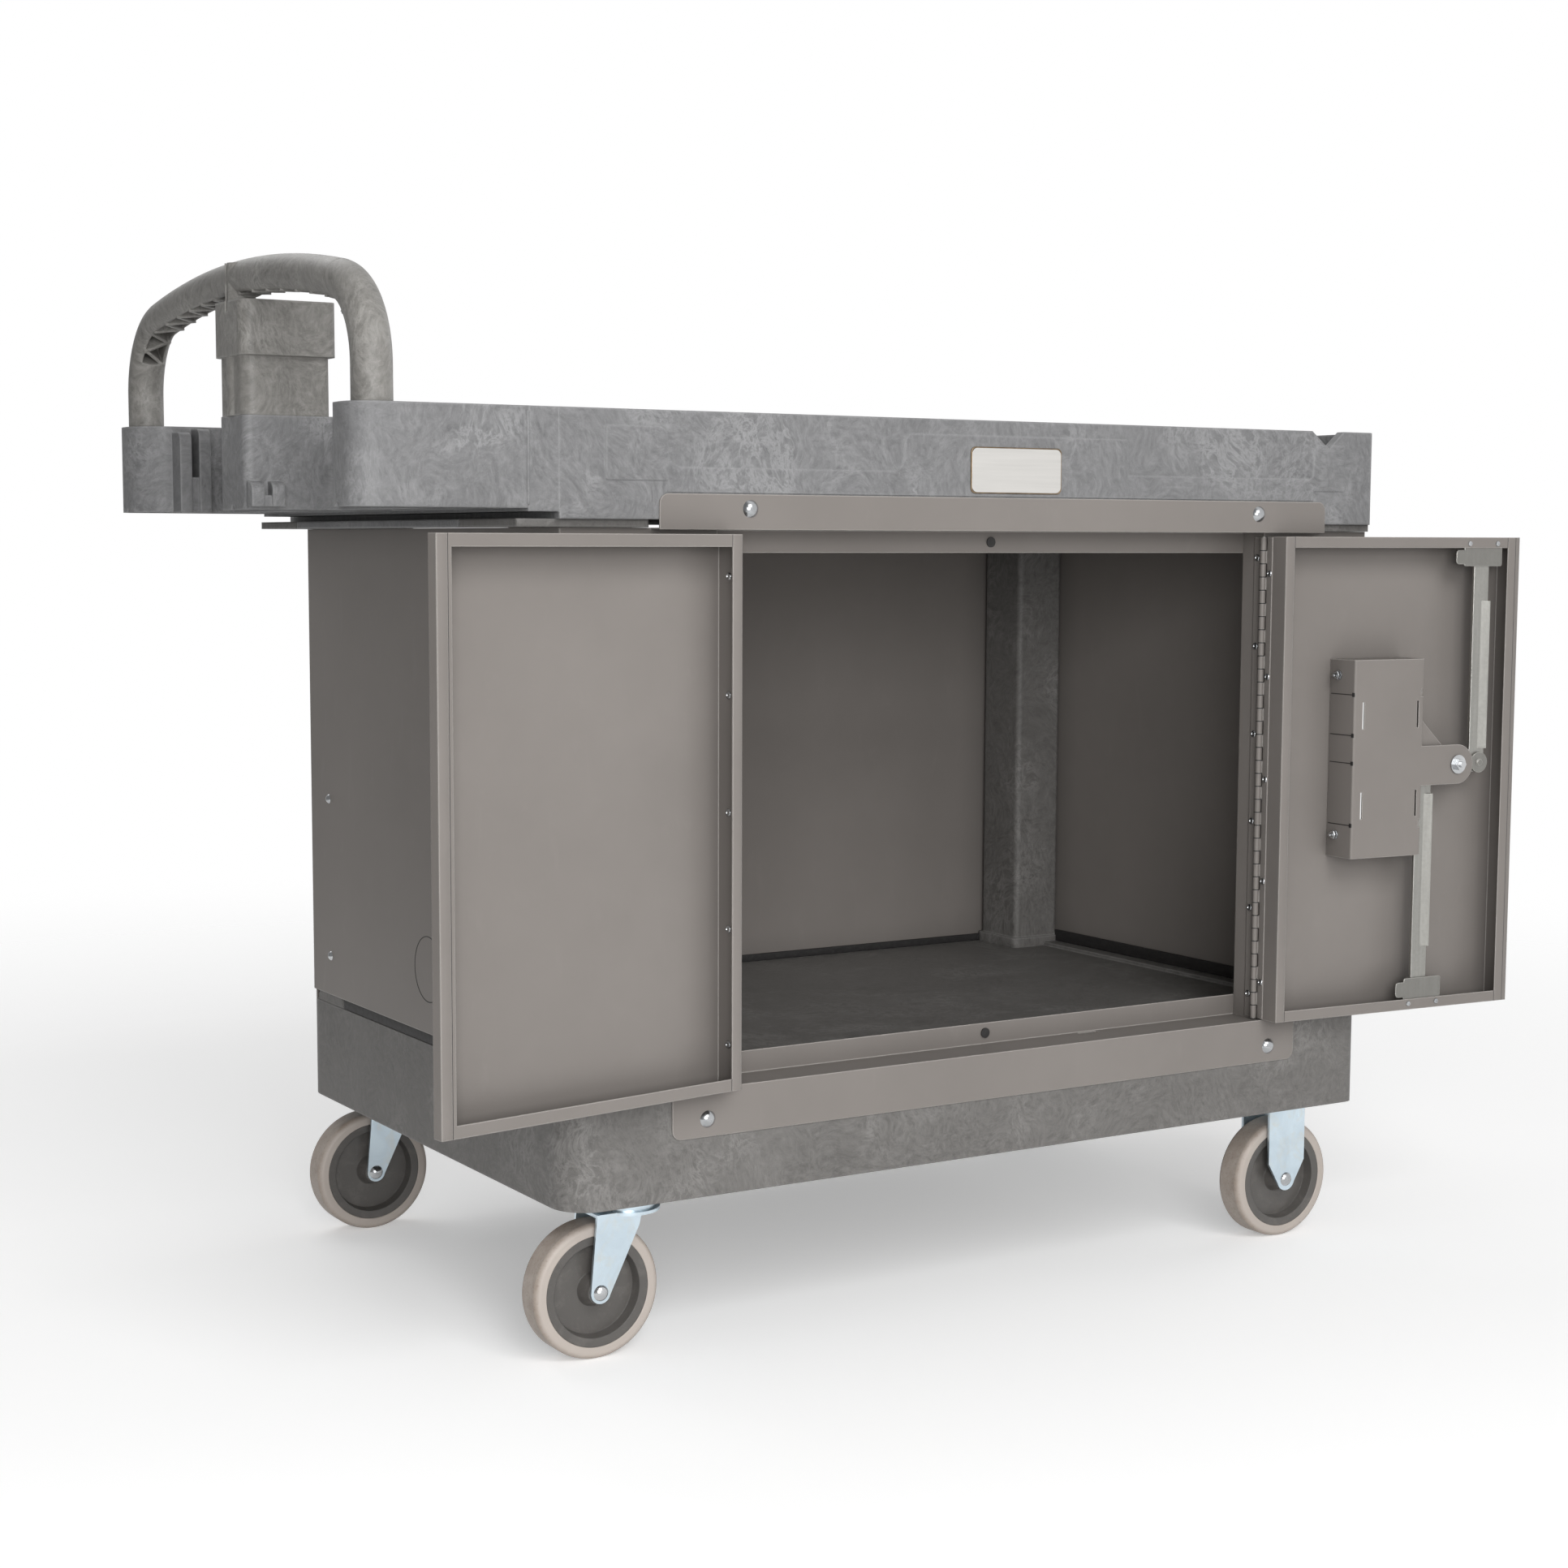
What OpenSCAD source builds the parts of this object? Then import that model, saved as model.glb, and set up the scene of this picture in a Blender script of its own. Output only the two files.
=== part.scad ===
// Utility cart: a moulded tray with a handle console over a two-door steel cabinet on a moulded base.
// Millimetres. X runs along the cart with the push handle at -X, the doors face -Y, Z is up from the floor.
// The origin lies on the floor under the middle of the base. Both doors stand open, as they are stored.

/* [Base] */
// Length of the moulded base
base_l = 948; // [920:1:980]
// Width of the moulded base
base_w = 628.8; // [600:0.1:629]
// Height of the base from the skirt's lower edge to its top
base_h = 99.5; // [85:0.5:110]
// How far the skirt hangs below the caster plates
skirt_drop = 17; // [10:1:25]
// Thickness of the skirt
skirt_t = 6; // [4:0.5:10]
// Thickness of the deck
deck_t = 9; // [6:0.5:14]
// Corner radius at the handle end
base_r_handle = 35; // [20:1:45]
// Corner radius at the far end
base_r_far = 15; // [8:1:30]
// Height of the raised rim at both ends
rim_h = 4.5; // [2:0.5:8]

/* [Casters] */
// Diameter of the wheels
wheel_d = 127; // [110:1:130]
// Width of the tyres
wheel_w = 32; // [24:1:36]
// Height of the caster plates above the floor
caster_h = 165; // [160:1:180]
// How far the swivel wheels trail behind their swivel axis
trail = 38.2; // [30:0.2:42]
// Distance of the swivel axes from the base's handle end
swivel_in = 86; // [80:1:98]
// Distance of the rigid wheels from the base's far end
rigid_in = 69; // [64:1:84]
// Distance of the wheels from the base's long edges
wheel_in = 52.5; // [50:0.5:70]
// Diameter of the axle bolts
axle_d = 9.5; // [8:0.5:12]
// Thickness of the fork legs
fork_t = 3; // [2:0.5:4]
// Side clearance between hub and fork leg
hub_gap = 0.3; // [0.2:0.1:1]

/* [Tray] */
// Height of the tray's lower edge above the floor
tray_z = 764.2; // [762:0.1:790]
// Height of the tray
tray_h = 95.5; // [80:0.5:110]
// Width of the tray
tray_w = 639.6; // [630:0.1:660]
// How far the tray reaches past the base's far end
tray_past = 2; // [0:0.5:20]
// How far the seam of tray and console lies past the base's handle end
seam_past = 8.5; // [6:0.5:16]
// Thickness of the tray walls
tray_t = 6; // [4:0.5:8]
// Depth of the tray's inside
tray_depth = 54; // [30:1:60]
// Distance of the pipe notch from the tray's far end
notch_in = 70.5; // [56:0.5:86]
// Width of the pipe notch
notch_w = 44; // [30:1:56]
// Depth of the pipe notch
notch_d = 17.8; // [10:0.1:25]
// Height of the raised relief on the front
relief_t = 1.2; // [0.6:0.1:2]
// Radius where the relief's edge turns up
relief_bend = 14; // [6:1:20]
// Length of the name plate
plate_l = 105.2; // [80:0.2:120]
// Height of the name plate
plate_h = 41.6; // [30:0.2:44]
// Distance of the name plate's middle from the tray's top
plate_down = 46.9; // [40:0.1:50]

/* [Console] */
// Length of the console from the seam to its handle end
console_l = 188.5; // [180:0.5:200]
// Height of the console
console_h = 86.7; // [80:0.1:95]
// Wall thickness of the console
console_t = 5; // [4:0.5:7]
// Width of each outer prong
prong_w = 74.8; // [60:0.1:90]
// Half width of the middle prong
mid_half_w = 34; // [28:1:45]
// Length of the open bays
bay_l = 101; // [80:1:120]
// How far the middle prong's end stands back
mid_back = 10.5; // [5:0.5:20]
// How far the cord hook stands off the prong
hook_out = 25; // [15:1:35]
// Gap between the two ribs of the cord hook
hook_gap = 8; // [4:1:14]
// Height of the step between the lower and upper column blocks
column_step = 54.3; // [40:0.1:70]
// Length of the column's lower block
column_l = 84.5; // [70:0.5:88]

/* [Handle] */
// Diameter of the handle
grip_d = 35.4; // [30:0.2:40]
// Distance of the handle from the console's handle end
grip_in = 26; // [22:1:32]
// Distance of the handle legs from the console's long sides
leg_in = 21.8; // [20:0.1:40]
// Length of the straight legs above the console
leg_h = 31.4; // [20:0.1:50]
// Radius of the corner bend
bend_r = 75; // [60:1:90]
// Radius of the shallow top arch
arch_r = 1400; // [1200:10:1600]
// Width of the channel under the arch
channel_w = 22; // [16:1:24]
// Depth of the channel under the arch
channel_d = 24; // [16:1:26]
// Spacing of the truss ribs in the channel
rib_pitch = 18; // [14:1:26]
// Thickness of the truss ribs
rib_t = 3; // [2:0.5:4]

/* [Cabinet] */
// Thickness of the cabinet sheet
sheet_t = 1.5; // [1:0.1:2]
// How far the side panels stand out past the base's ends
panel_out = 1; // [0.5:0.5:2]
// Distance of the back panel's outer face from the base's long edge
back_in = 25.4; // [15:0.1:40]
// Distance of the front frame's face from the base's long edge
stile_in = 9.4; // [8.4:0.1:10]
// Gap between the base rim and the panels' lower edges
panel_gap = 11; // [6:0.5:16]
// Side of the square corner posts
post_w = 64; // [50:1:70]
// Wall thickness of the corner posts
post_t = 4; // [3:0.5:6]
// Height of the post feet
foot_h = 12; // [8:1:20]
// Length of the top flange
top_flange_l = 787.1; // [780:0.1:795]
// Height of the top flange
top_flange_h = 31.6; // [24:0.1:40]
// Length of the bottom flange
low_flange_l = 749.6; // [740:0.1:760]
// Height of the bottom flange
low_flange_h = 45; // [35:0.5:55]
// Height of the sill's upstand
upstand_h = 21; // [14:1:30]
// Height of the head rail's drop
rail_drop = 20.8; // [14:0.1:30]

/* [Doors] */
// X position of the left hinge pin
left_pin_x = -313.5; // [-325:0.5:-313]
// X position of the right hinge pin
right_pin_x = 331.5; // [325:0.5:340]
// How far the hinge pins stand out from the front frame's face
pin_out = 2.4; // [2.2:0.1:3]
// Thickness of the doors
door_t = 33; // [25:1:38]
// Sheet thickness of the doors
door_sheet = 1.2; // [0.8:0.1:1.6]
// Width of the left door's skin
left_w = 308.5; // [302:0.5:309]
// How far the left door's rebated edge reaches past its skin
lip_out = 14; // [8:0.5:14.5]
// Depth of the rebate in the left door's edge
lip_back = 21; // [12:0.5:24]
// Width of the return along the left door's free edge
edge_return_w = 15; // [10:0.5:18]
// Width of the right door
right_w = 314; // [306:0.5:314]
// Width of the returns round the doors
return_w = 11.2; // [8:0.2:16]
// Clearance of the doors at sill and head
door_gap = 1; // [0.8:0.1:3]
// Opening angle of the left door at rest
left_open = 171; // [100:1:175]
// Opening angle of the right door at rest
right_open = 176; // [100:1:176]

/* [Piano hinges] */
// Outer diameter of the knuckles
knuckle_d = 6.4; // [5.6:0.1:6.4]
// Number of knuckles of each hinge
knuckles = 37; // [21:2:41]
// Diameter of the hinge pins
pin_d = 2.6; // [2:0.1:3]
// Radial clearance of pins and shafts
run_gap = 0.05; // [0.02:0.01:0.1]
// Gap between neighbouring knuckles
knuckle_gap = 0.4; // [0.3:0.1:0.8]
// Thickness of the hinge leaves
leaf_t = 1; // [0.8:0.1:1.4]
// Width of the leaf on the frame
frame_leaf_w = 16; // [12:0.5:20]
// Width of the leaf on the door
door_leaf_w = 12; // [9:0.5:16]

/* [Latch] */
// Distance of the latch box's near side from the door's hinge edge
box_a = 87; // [80:1:100]
// Width of the latch box
box_w = 93; // [80:1:100]
// Height of the latch box
box_h = 207.5; // [180:0.5:240]
// Height of the latch box's lower edge above the floor
box_z = 417; // [400:1:430]
// How far the latch box stands out past the door's returns
box_out = 8; // [6:0.5:14]
// Distance of the latch shaft from the door's hinge edge
shaft_a = 228.5; // [224:0.5:232]
// Height of the latch shaft above the floor
shaft_z = 511.5; // [500:0.5:525]
// Diameter of the latch shaft
shaft_d = 12; // [9:0.5:14]
// Distance of the rod pins from the shaft
crank_r = 38; // [35:0.5:40]
// Diameter of the rod pins
crank_pin_d = 7; // [5:0.5:8]
// Turn of the latch from open to locked
latch_turn = 22; // [15:1:22]
// Width of the lock rods
rod_w = 20; // [18:0.5:22]
// Thickness of the lock rods
rod_t = 3; // [2:0.5:4]
// Clearance round the rods in guides and slots
rod_gap = 0.6; // [0.4:0.1:1]
// Height of the rod guides that shows past the door's returns
guide_h = 19.2; // [14:0.1:26]
// Width of the wings beside the rod guides
guide_wing = 11; // [6:1:14]
// Length of the outside lever from shaft to grip end
lever_l = 128; // [110:1:134]

/* [Hidden] */
// Roundness of curves
$fn = 64;
// A small overlap that lets joined volumes fuse
eps = 0.01;
// Base
base_z = caster_h - skirt_drop;
base_top = base_z + base_h;
rim_w = 22;
swivel_x = -base_l / 2 + swivel_in;
rigid_x = base_l / 2 - rigid_in;
wheel_y = base_w / 2 - wheel_in;
swivel_wheel_x = swivel_x - trail;
// Cabinet
panel_x = base_l / 2 + panel_out;
cab_back_y = base_w / 2 - back_in;
stile_y = base_w / 2 - stile_in;
pin_y = stile_y + pin_out;
panel_z0 = base_top + rim_h + panel_gap;
sill_z = base_top + sheet_t;
head_drop = 8.8;
head_z = tray_z - head_drop;
panel_z1 = head_z + sheet_t;
stop_y = pin_y - door_t - 1.5;
jamb_left = left_pin_x - knuckle_d / 2;
jamb_right = right_pin_x + knuckle_d / 2;
post_back_y = cab_back_y - sheet_t - 6;
post_front_y = stop_y - sheet_t - 4.4;
post_long = 8;
post_flare = 4;
collar_handle = [-panel_x - 44, -panel_x + 86];
collar_far = [-panel_x - 0.5, -panel_x + 69];
top_flange_x = 8.75;
low_flange_x = 5.5;
head_end_left = top_flange_l / 2 - top_flange_x;
head_end_right = top_flange_l / 2 + top_flange_x;
sill_end_left = low_flange_l / 2 - low_flange_x;
sill_end_right = low_flange_l / 2 + low_flange_x;
// Doors
door_z0 = sill_z + door_gap;
door_z1 = head_z - door_gap - 3;
door_h = door_z1 - door_z0;
hinge_z0 = door_z0 + 0.8;
hinge_l = door_h - 1.6;
knuckle_pitch = hinge_l / knuckles;
// Latch
guide_y = door_t - door_sheet - sheet_t;
rod_y = guide_y - rod_gap - rod_t;
cam_y = rod_y + rod_t + 0.3;
nut_d = 6;
cam_t = 2.5;
up_rod_a = shaft_a + crank_r - 2;
low_rod_a = shaft_a - crank_r + 2;
rod_slot_w = crank_pin_d + crank_r * (1 - cos(latch_turn)) * 2 + 1;
rod_slot_h = crank_pin_d + 1.4;
up_rod_top = door_z1 - 3.4;
low_rod_end = door_z0 + 4.4;
// Tray
tray_top = tray_z + tray_h;
tray_y = tray_w / 2;
tray_end_x = base_l / 2 + tray_past;
seam_x = -base_l / 2 - seam_past;
notch_x = tray_end_x - notch_in;
strip_x = seam_x - 29.5;
relief_high = tray_top - 14.6;
relief_low = tray_top - 49.6;
relief_mid_x = [-125, 141];
relief_left_x = [seam_x + 44.8, seam_x + 106.5];
relief_right_x = [tray_end_x - 90, tray_end_x - 46];
plate_x = 4.1;
plate_z = tray_top - plate_down;
console_top = tray_top;
console_z = console_top - console_h;
console_x = seam_x - console_l;
// Handle
grip_x = console_x + grip_in;
leg_y = tray_y - leg_in;
bend_z = console_top + leg_h;
arch_join = 90 - asin((leg_y - bend_r) / (arch_r - bend_r));
arch_z = bend_z - (arch_r - bend_r) * sin(arch_join);
arch_lap = 0.06;
channel_from = 33;
channel_end = 16;
// Fasteners
bolt_d = 8;
screw_d = 5;
kingpin_d = 12;
flange_bolt_x = [-291.6, 311.9];
flange_bolt_z = head_z + 18.6;
sill_bolt_x = [-332.5, 345.4];
sill_bolt_z = sill_z - 28.5;
hole_gap = 0.2;
panel_screw_z = [305, 473];
front_screw_y = post_front_y - 27;
back_screw_y = post_back_y - 41.5;
bumper_x = 10.3;
bumper_r = 5;

// Colours
resin_colour = [0.36, 0.38, 0.40];
grip_colour = [0.34, 0.35, 0.34];
paint_colour = [0.42, 0.41, 0.40];
zinc_colour = [0.72, 0.75, 0.78];
steel_colour = [0.66, 0.66, 0.65];
tyre_colour = [0.55, 0.53, 0.50];
core_colour = [0.18, 0.18, 0.19];
rubber_colour = [0.08, 0.08, 0.08];

// Box between two corners
module block(low, high) {
    translate(low) cube(high - low);
}

// Rectangle between two corners
module plate2d(low, high) {
    translate(low) square(high - low);
}

// The sliver between a square corner and its arc, with the corner at the origin
module corner_sliver(r) {
    difference() {
        translate([-eps, -eps]) square(r + eps);
        translate([r, r]) circle(r);
    }
}

// Rectangle between two corners with the radii given anticlockwise from the low corner
module round_plate(low, high, radii) {
    difference() {
        plate2d(low, high);
        translate(low) corner_sliver(radii[0]);
        translate([high.x, low.y]) rotate(90) corner_sliver(radii[1]);
        translate(high) rotate(180) corner_sliver(radii[2]);
        translate([low.x, high.y]) rotate(270) corner_sliver(radii[3]);
    }
}

// Extrusion of a flat outline between two heights
module rise(z0, z1) {
    translate([0, 0, z0]) linear_extrude(z1 - z0) children();
}

// Extrusion of an X-Z outline between two Y positions
module run_y(y0, y1) {
    translate([0, y1, 0]) rotate([90, 0, 0]) linear_extrude(y1 - y0) children();
}

// Extrusion of a Y-Z outline between two X positions
module run_x(x0, x1) {
    translate([x0, 0, 0]) rotate([90, 0, 90]) linear_extrude(x1 - x0) children();
}

// Pole along Y
module rod_along_y(r, y0, y1, fn = 48) {
    translate([0, y1, 0]) rotate([90, 0, 0]) cylinder(h = y1 - y0, r = r, $fn = fn);
}

// Places its children at the front and at the mirrored back
module both_sides() {
    children();
    mirror([0, 1, 0]) children();
}

// Base deck: a rounded tub turned over, with a rib grid, caster bosses and end rims
module base_outline(inset) {
    x = base_l / 2 - inset;
    y = base_w / 2 - inset;
    h = base_r_handle - inset;
    f = max(base_r_far - inset, 1);
    round_plate([-x, -y], [x, y], [h, f, f, h]);
}

module base_ribs() {
    under = base_top - deck_t;
    for (x = [-300:100:300])
        block([x - 2, -base_w / 2 + skirt_t - eps, under - 12],
            [x + 2, base_w / 2 - skirt_t + eps, under + eps]);
    for (y = [-180:90:180])
        block([-base_l / 2 + skirt_t - eps, y - 2, under - 12],
            [base_l / 2 - skirt_t + eps, y + 2, under + eps]);
}

module base_deck() {
    color(resin_colour) difference() {
        union() {
            difference() {
                rise(base_z, base_top) base_outline(0);
                rise(base_z - 1, base_top - deck_t) base_outline(skirt_t);
            }
            base_ribs();
            both_sides() {
                for (x = [swivel_x, rigid_x])
                    block([x - 52, wheel_y - 36, caster_h], [x + 52, wheel_y + 36, base_top - deck_t + eps]);
            }
            rise(base_top - eps, base_top + rim_h) intersection() {
                base_outline(0);
                union() {
                    plate2d([-base_l / 2, -base_w / 2], [-base_l / 2 + rim_w, base_w / 2]);
                    plate2d([base_l / 2 - rim_w, -base_w / 2], [base_l / 2, base_w / 2]);
                }
            }
        }
        // Pocket that takes the lower lock rod
        x = right_pin_x - knuckle_d / 2 - low_rod_a;
        y = -pin_y + rod_y + rod_t / 2;
        block([x - rod_w / 2 - 2, y - rod_t / 2 - 2, base_top - 8],
            [x + rod_w / 2 + 2, y + rod_t / 2 + 2, base_top + 1]);
        // Holes of the flange bolts
        for (x = sill_bolt_x)
            translate([x, 0, sill_bolt_z])
                rod_along_y(bolt_d / 2 + hole_gap, -base_w / 2 - 1, -base_w / 2 + skirt_t + 8);
    }
}

// Corner post at the low X and high Y corner: a tube with a foot on the base and a collar under the tray
module post(y1, collar, screw_y) {
    x0 = -panel_x + sheet_t;
    x1 = x0 + post_w;
    y0 = y1 - post_w - post_long;
    f = post_flare;
    color(resin_colour) difference() {
        union() {
            rise(base_top, tray_z) round_plate([x0, y0], [x1, y1], [6, 6, 6, 6]);
            rise(base_top, base_top + foot_h) round_plate([x0, y0 - f], [x1 + f, y1 + f], [8, 8, 8, 8]);
            rise(panel_z1 + 0.2, tray_z)
                round_plate([collar[0], y0 - f], [collar[1], tray_y - 9], [3, 3, 3, 3]);
        }
        rise(base_top - 1, tray_z + 1)
            round_plate([x0 + post_t, y0 + post_t], [x1 - post_t, y1 - post_t], [3, 3, 3, 3]);
        block([-base_l / 2 - 2, y0 - 10, base_top - 1],
            [-base_l / 2 + rim_w + 0.2, y1 + 10, base_top + rim_h]);
        for (z = panel_screw_z)
            translate([x0 - 1, screw_y, z]) rotate([0, 90, 0])
                cylinder(h = post_t + 2, r = screw_d / 2 + hole_gap, $fn = 32);
    }
}

// Tray with a lipped inside, a ribbed underside, pipe notches and a raised wave on its long sides
module wave_relief() {
    foot = head_z + top_flange_h + 1.2;
    high = relief_high;
    low = relief_low;
    a = relief_left_x;
    b = relief_mid_x;
    c = relief_right_x;
    run_y(-tray_y - relief_t, -tray_y + 0.5) {
        round_plate([a[0], foot + 10], [a[1], high], [2, 2, 10, 2]);
        plate2d([a[1] - eps, foot], [b[0] + eps, low]);
        round_plate([b[0], foot], [b[1], high], [0.5, 2, 2, 10]);
        plate2d([b[1] - eps, foot], [c[0] + eps, low]);
        round_plate([c[0], foot + 10], [c[1], high], [0.5, 2, 2, 8]);
        translate([a[1], low]) corner_sliver(relief_bend);
        translate([b[0], low]) mirror([1, 0]) corner_sliver(relief_bend);
        translate([c[0], low]) mirror([1, 0]) corner_sliver(relief_bend / 2);
    }
}

module tray_hollow(x0, x1) {
    rise(tray_z - 1, tray_top - tray_depth - tray_t)
        plate2d([x0, -tray_y + tray_t], [x1, tray_y - tray_t]);
}

module upper_tray() {
    cells = 7;
    x0 = seam_x + tray_t;
    x1 = tray_end_x - tray_t;
    pitch = (x1 - x0 + 4) / cells;
    color(resin_colour) difference() {
        union() {
            rise(tray_z, tray_top) round_plate([seam_x, -tray_y], [tray_end_x, tray_y], [0.5, 15, 15, 0.5]);
            rise(tray_z + 6, tray_top)
                plate2d([strip_x, -tray_y + 0.6], [seam_x + eps, tray_y - 0.6]);
            wave_relief();
            // Cross rail between the collars of the two posts at the handle end
            block([collar_handle[0], -(post_front_y - post_w - post_long - post_flare - 0.3), panel_z1 + 0.2],
                [seam_x + tray_t, post_back_y - post_w - post_long - post_flare - 0.3, tray_z + eps]);
        }
        rise(tray_top - tray_depth, tray_top + 1)
            round_plate([strip_x + 18, -tray_y + tray_t + 4],
                [tray_end_x - tray_t - 4, tray_y - tray_t - 4], [20, 12, 12, 20]);
        for (i = [0:cells - 1])
            tray_hollow(x0 + i * pitch, x0 + (i + 1) * pitch - 4);
        run_y(-tray_y - 5, tray_y + 5) polygon([
            [notch_x - notch_w / 2 - 1.4, tray_top + 1.1],
            [notch_x + 1.6, tray_top - notch_d],
            [notch_x + notch_w / 2 + 1.3, tray_top + 1.1]
        ]);
        // Holes of the flange bolts
        for (x = flange_bolt_x)
            translate([x, 0, flange_bolt_z])
                rod_along_y(bolt_d / 2 + hole_gap, -tray_y - 1, -tray_y + tray_t + 8);
    }
}

// Handle console: two outer prongs, a middle prong, open bays between and cord hooks
module console_outline() {
    inner = tray_y - prong_w;
    back = console_x + bay_l;
    mid = console_x + mid_back;
    round_plate([back - 1, -tray_y], [strip_x, tray_y], [0.5, 0.5, 0.5, 0.5]);
    round_plate([console_x, inner], [back + eps, tray_y], [38, 0.5, 0.5, 25]);
    round_plate([console_x, -tray_y], [back + eps, -inner], [25, 0.5, 0.5, 38]);
    round_plate([mid, -mid_half_w], [back + eps, mid_half_w], [8, 0.5, 0.5, 8]);
    for (s = [0, 1]) mirror([0, s]) {
        translate([back, inner]) rotate(180) corner_sliver(12);
        translate([back, mid_half_w]) rotate(90) corner_sliver(12);
    }
}

module console_hollows(x1) {
    inner = tray_y - prong_w;
    t = console_t;
    mid = console_x + mid_back;
    low_x = console_x + bay_l + t;
    for (s = [0, 1]) mirror([0, s]) {
        round_plate([console_x + t, inner + t], [x1, tray_y - t], [33, 0.5, 0.5, 20]);
        round_plate([low_x, mid_half_w + t], [x1, inner], [2, 2, 2, 2]);
    }
    round_plate([mid + t, -mid_half_w + t], [x1, mid_half_w - t], [4, 2, 2, 4]);
}

module cord_hook(x, y, out, z0, tops) {
    // Two upright ribs that leave the prong, with a web between them at the foot
    for (i = [0, 1]) {
        x0 = x + i * (12 + hook_gap);
        difference() {
            block([x0, y - out, z0], [x0 + 12, y + eps, tops[i]]);
            translate([x0 - 1, 0, 0]) run_x(0, 14)
                translate([y - out, tops[i]]) rotate(270) corner_sliver(9);
        }
    }
    block([x + 12 - eps, y - out + 3, z0], [x + 12 + hook_gap + eps, y + eps, z0 + (tops[0] - z0) * 0.44]);
}

module handle_console() {
    inner = tray_y - prong_w;
    color(resin_colour) {
        difference() {
            rise(console_z, console_top) console_outline();
            rise(console_z - 1, console_top - console_t) console_hollows(strip_x - console_t);
            // Small arched recesses at the foot of the prong ends
            for (y = [-inner - prong_w / 2, 0, inner + prong_w / 2])
                translate([console_x - 1, y, console_z])
                    rotate([0, 90, 0]) cylinder(h = 16, r = 4.5, $fn = 32);
        }
        cord_hook(console_x + 35, inner, hook_out, console_z, [console_top - 6.7, console_top - 2.7]);
        cord_hook(console_x + 12, -mid_half_w, hook_out * 0.56, console_z + 3,
            [console_z + 26, console_z + 26]);
    }
}

// Push handle: two legs, rounded corners and a shallow arch with a ribbed channel, on a stepped column
module arch_plane() {
    translate([grip_x, 0, 0]) rotate([90, 0, 90]) children();
}

module grip_bend(r, from, to, d = grip_d) {
    rotate(from) rotate_extrude(angle = to - from, $fn = r < 200 ? 120 : 1440)
        translate([r, 0]) circle(d = d, $fn = 48);
}

module channel_bend(r, from, to, w, d) {
    rotate(from) rotate_extrude(angle = to - from, $fn = r < 200 ? 120 : 1440)
        translate([r - grip_d / 2 - 2, -w / 2]) square([d + 2, w]);
}

// One slanted rib of the truss; its radial direction is +Y of the arch plane
module truss_rib(r, lean) {
    len = norm([channel_w + 2.4, rib_pitch]);
    rotate([0, lean * atan(rib_pitch / channel_w), 0])
        translate([-rib_t / 2, r - grip_d / 2 + 2.2, -len / 2]) cube([rib_t, channel_d - 1.2, len]);
}

module half_channel() {
    translate([0, arch_z])
        channel_bend(arch_r, arch_join, 90 - asin(channel_end / arch_r), channel_w, channel_d);
    translate([leg_y - bend_r, bend_z])
        channel_bend(bend_r, channel_from, arch_join + 1, channel_w - 1, channel_d - 0.8);
}

module half_ribs() {
    n = floor((leg_y - bend_r - channel_end) / rib_pitch);
    step = rib_pitch / bend_r * 180 / PI;
    m = floor((arch_join - channel_from) / step);
    translate([0, arch_z]) for (i = [0:n])
        rotate(-(channel_end + rib_pitch * (i + 0.5)) / arch_r * 180 / PI)
            truss_rib(arch_r, i % 2 == 0 ? 1 : -1);
    translate([leg_y - bend_r, bend_z]) for (i = [0:m - 1])
        rotate(channel_from + step * (i + 0.5) - 90) truss_rib(bend_r, i % 2 == 0 ? 1 : -1);
}

module half_grip() {
    translate([leg_y - bend_r, bend_z]) grip_bend(bend_r, 0, arch_join);
    translate([leg_y, bend_z]) rotate([90, 0, 0]) cylinder(h = bend_z - console_top, d = grip_d, $fn = 48);
}

module handle_column() {
    low_x = console_x + mid_back;
    step_z = console_top + column_step;
    top_z = arch_z + arch_r;
    difference() {
        union() {
            rise(console_top, step_z)
                round_plate([low_x, -mid_half_w], [low_x + column_l, mid_half_w], [12, 6, 6, 12]);
            rise(step_z, top_z - grip_d / 2 - 3)
                round_plate([low_x - 3, -mid_half_w - 6],
                    [low_x + column_l + 5, mid_half_w + 6], [12, 8, 8, 12]);
            translate([low_x + 11, 0, console_top]) cylinder(h = top_z + 14 - console_top, r = 14);
        }
        // Slot in the top of the post at the column's end
        block([low_x - 5, -3, top_z - 30], [low_x + 4, 3, top_z + 15]);
    }
}

module push_handle() {
    color(grip_colour) {
        arch_plane() {
            difference() {
                union() {
                    translate([0, arch_z])
                        grip_bend(arch_r, arch_join - arch_lap, 180 + arch_lap - arch_join, grip_d + 0.3);
                    half_grip();
                    mirror([1, 0, 0]) half_grip();
                }
                half_channel();
                mirror([1, 0, 0]) half_channel();
            }
            half_ribs();
            mirror([1, 0, 0]) half_ribs();
        }
        handle_column();
    }
}

// Cabinet sheets
module side_panel() {
    y0 = -stile_y + sheet_t;
    color(paint_colour) difference() {
        rise(panel_z0, panel_z1) {
            plate2d([-panel_x, y0], [-panel_x + sheet_t, cab_back_y]);
            plate2d([-panel_x, cab_back_y - sheet_t], [-panel_x + 20, cab_back_y]);
        }
        for (z = panel_screw_z) for (y = [-front_screw_y, back_screw_y])
            translate([-panel_x - 1, y, z]) rotate([0, 90, 0])
                cylinder(h = sheet_t + 2, r = screw_d / 2 + hole_gap, $fn = 32);
    }
}

module back_panel() {
    y1 = cab_back_y - sheet_t;
    color(paint_colour)
        block([-panel_x + sheet_t + 0.2, y1 - sheet_t, base_top + rim_h + 0.5],
            [panel_x - sheet_t - 0.2, y1, panel_z1]);
}

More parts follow.
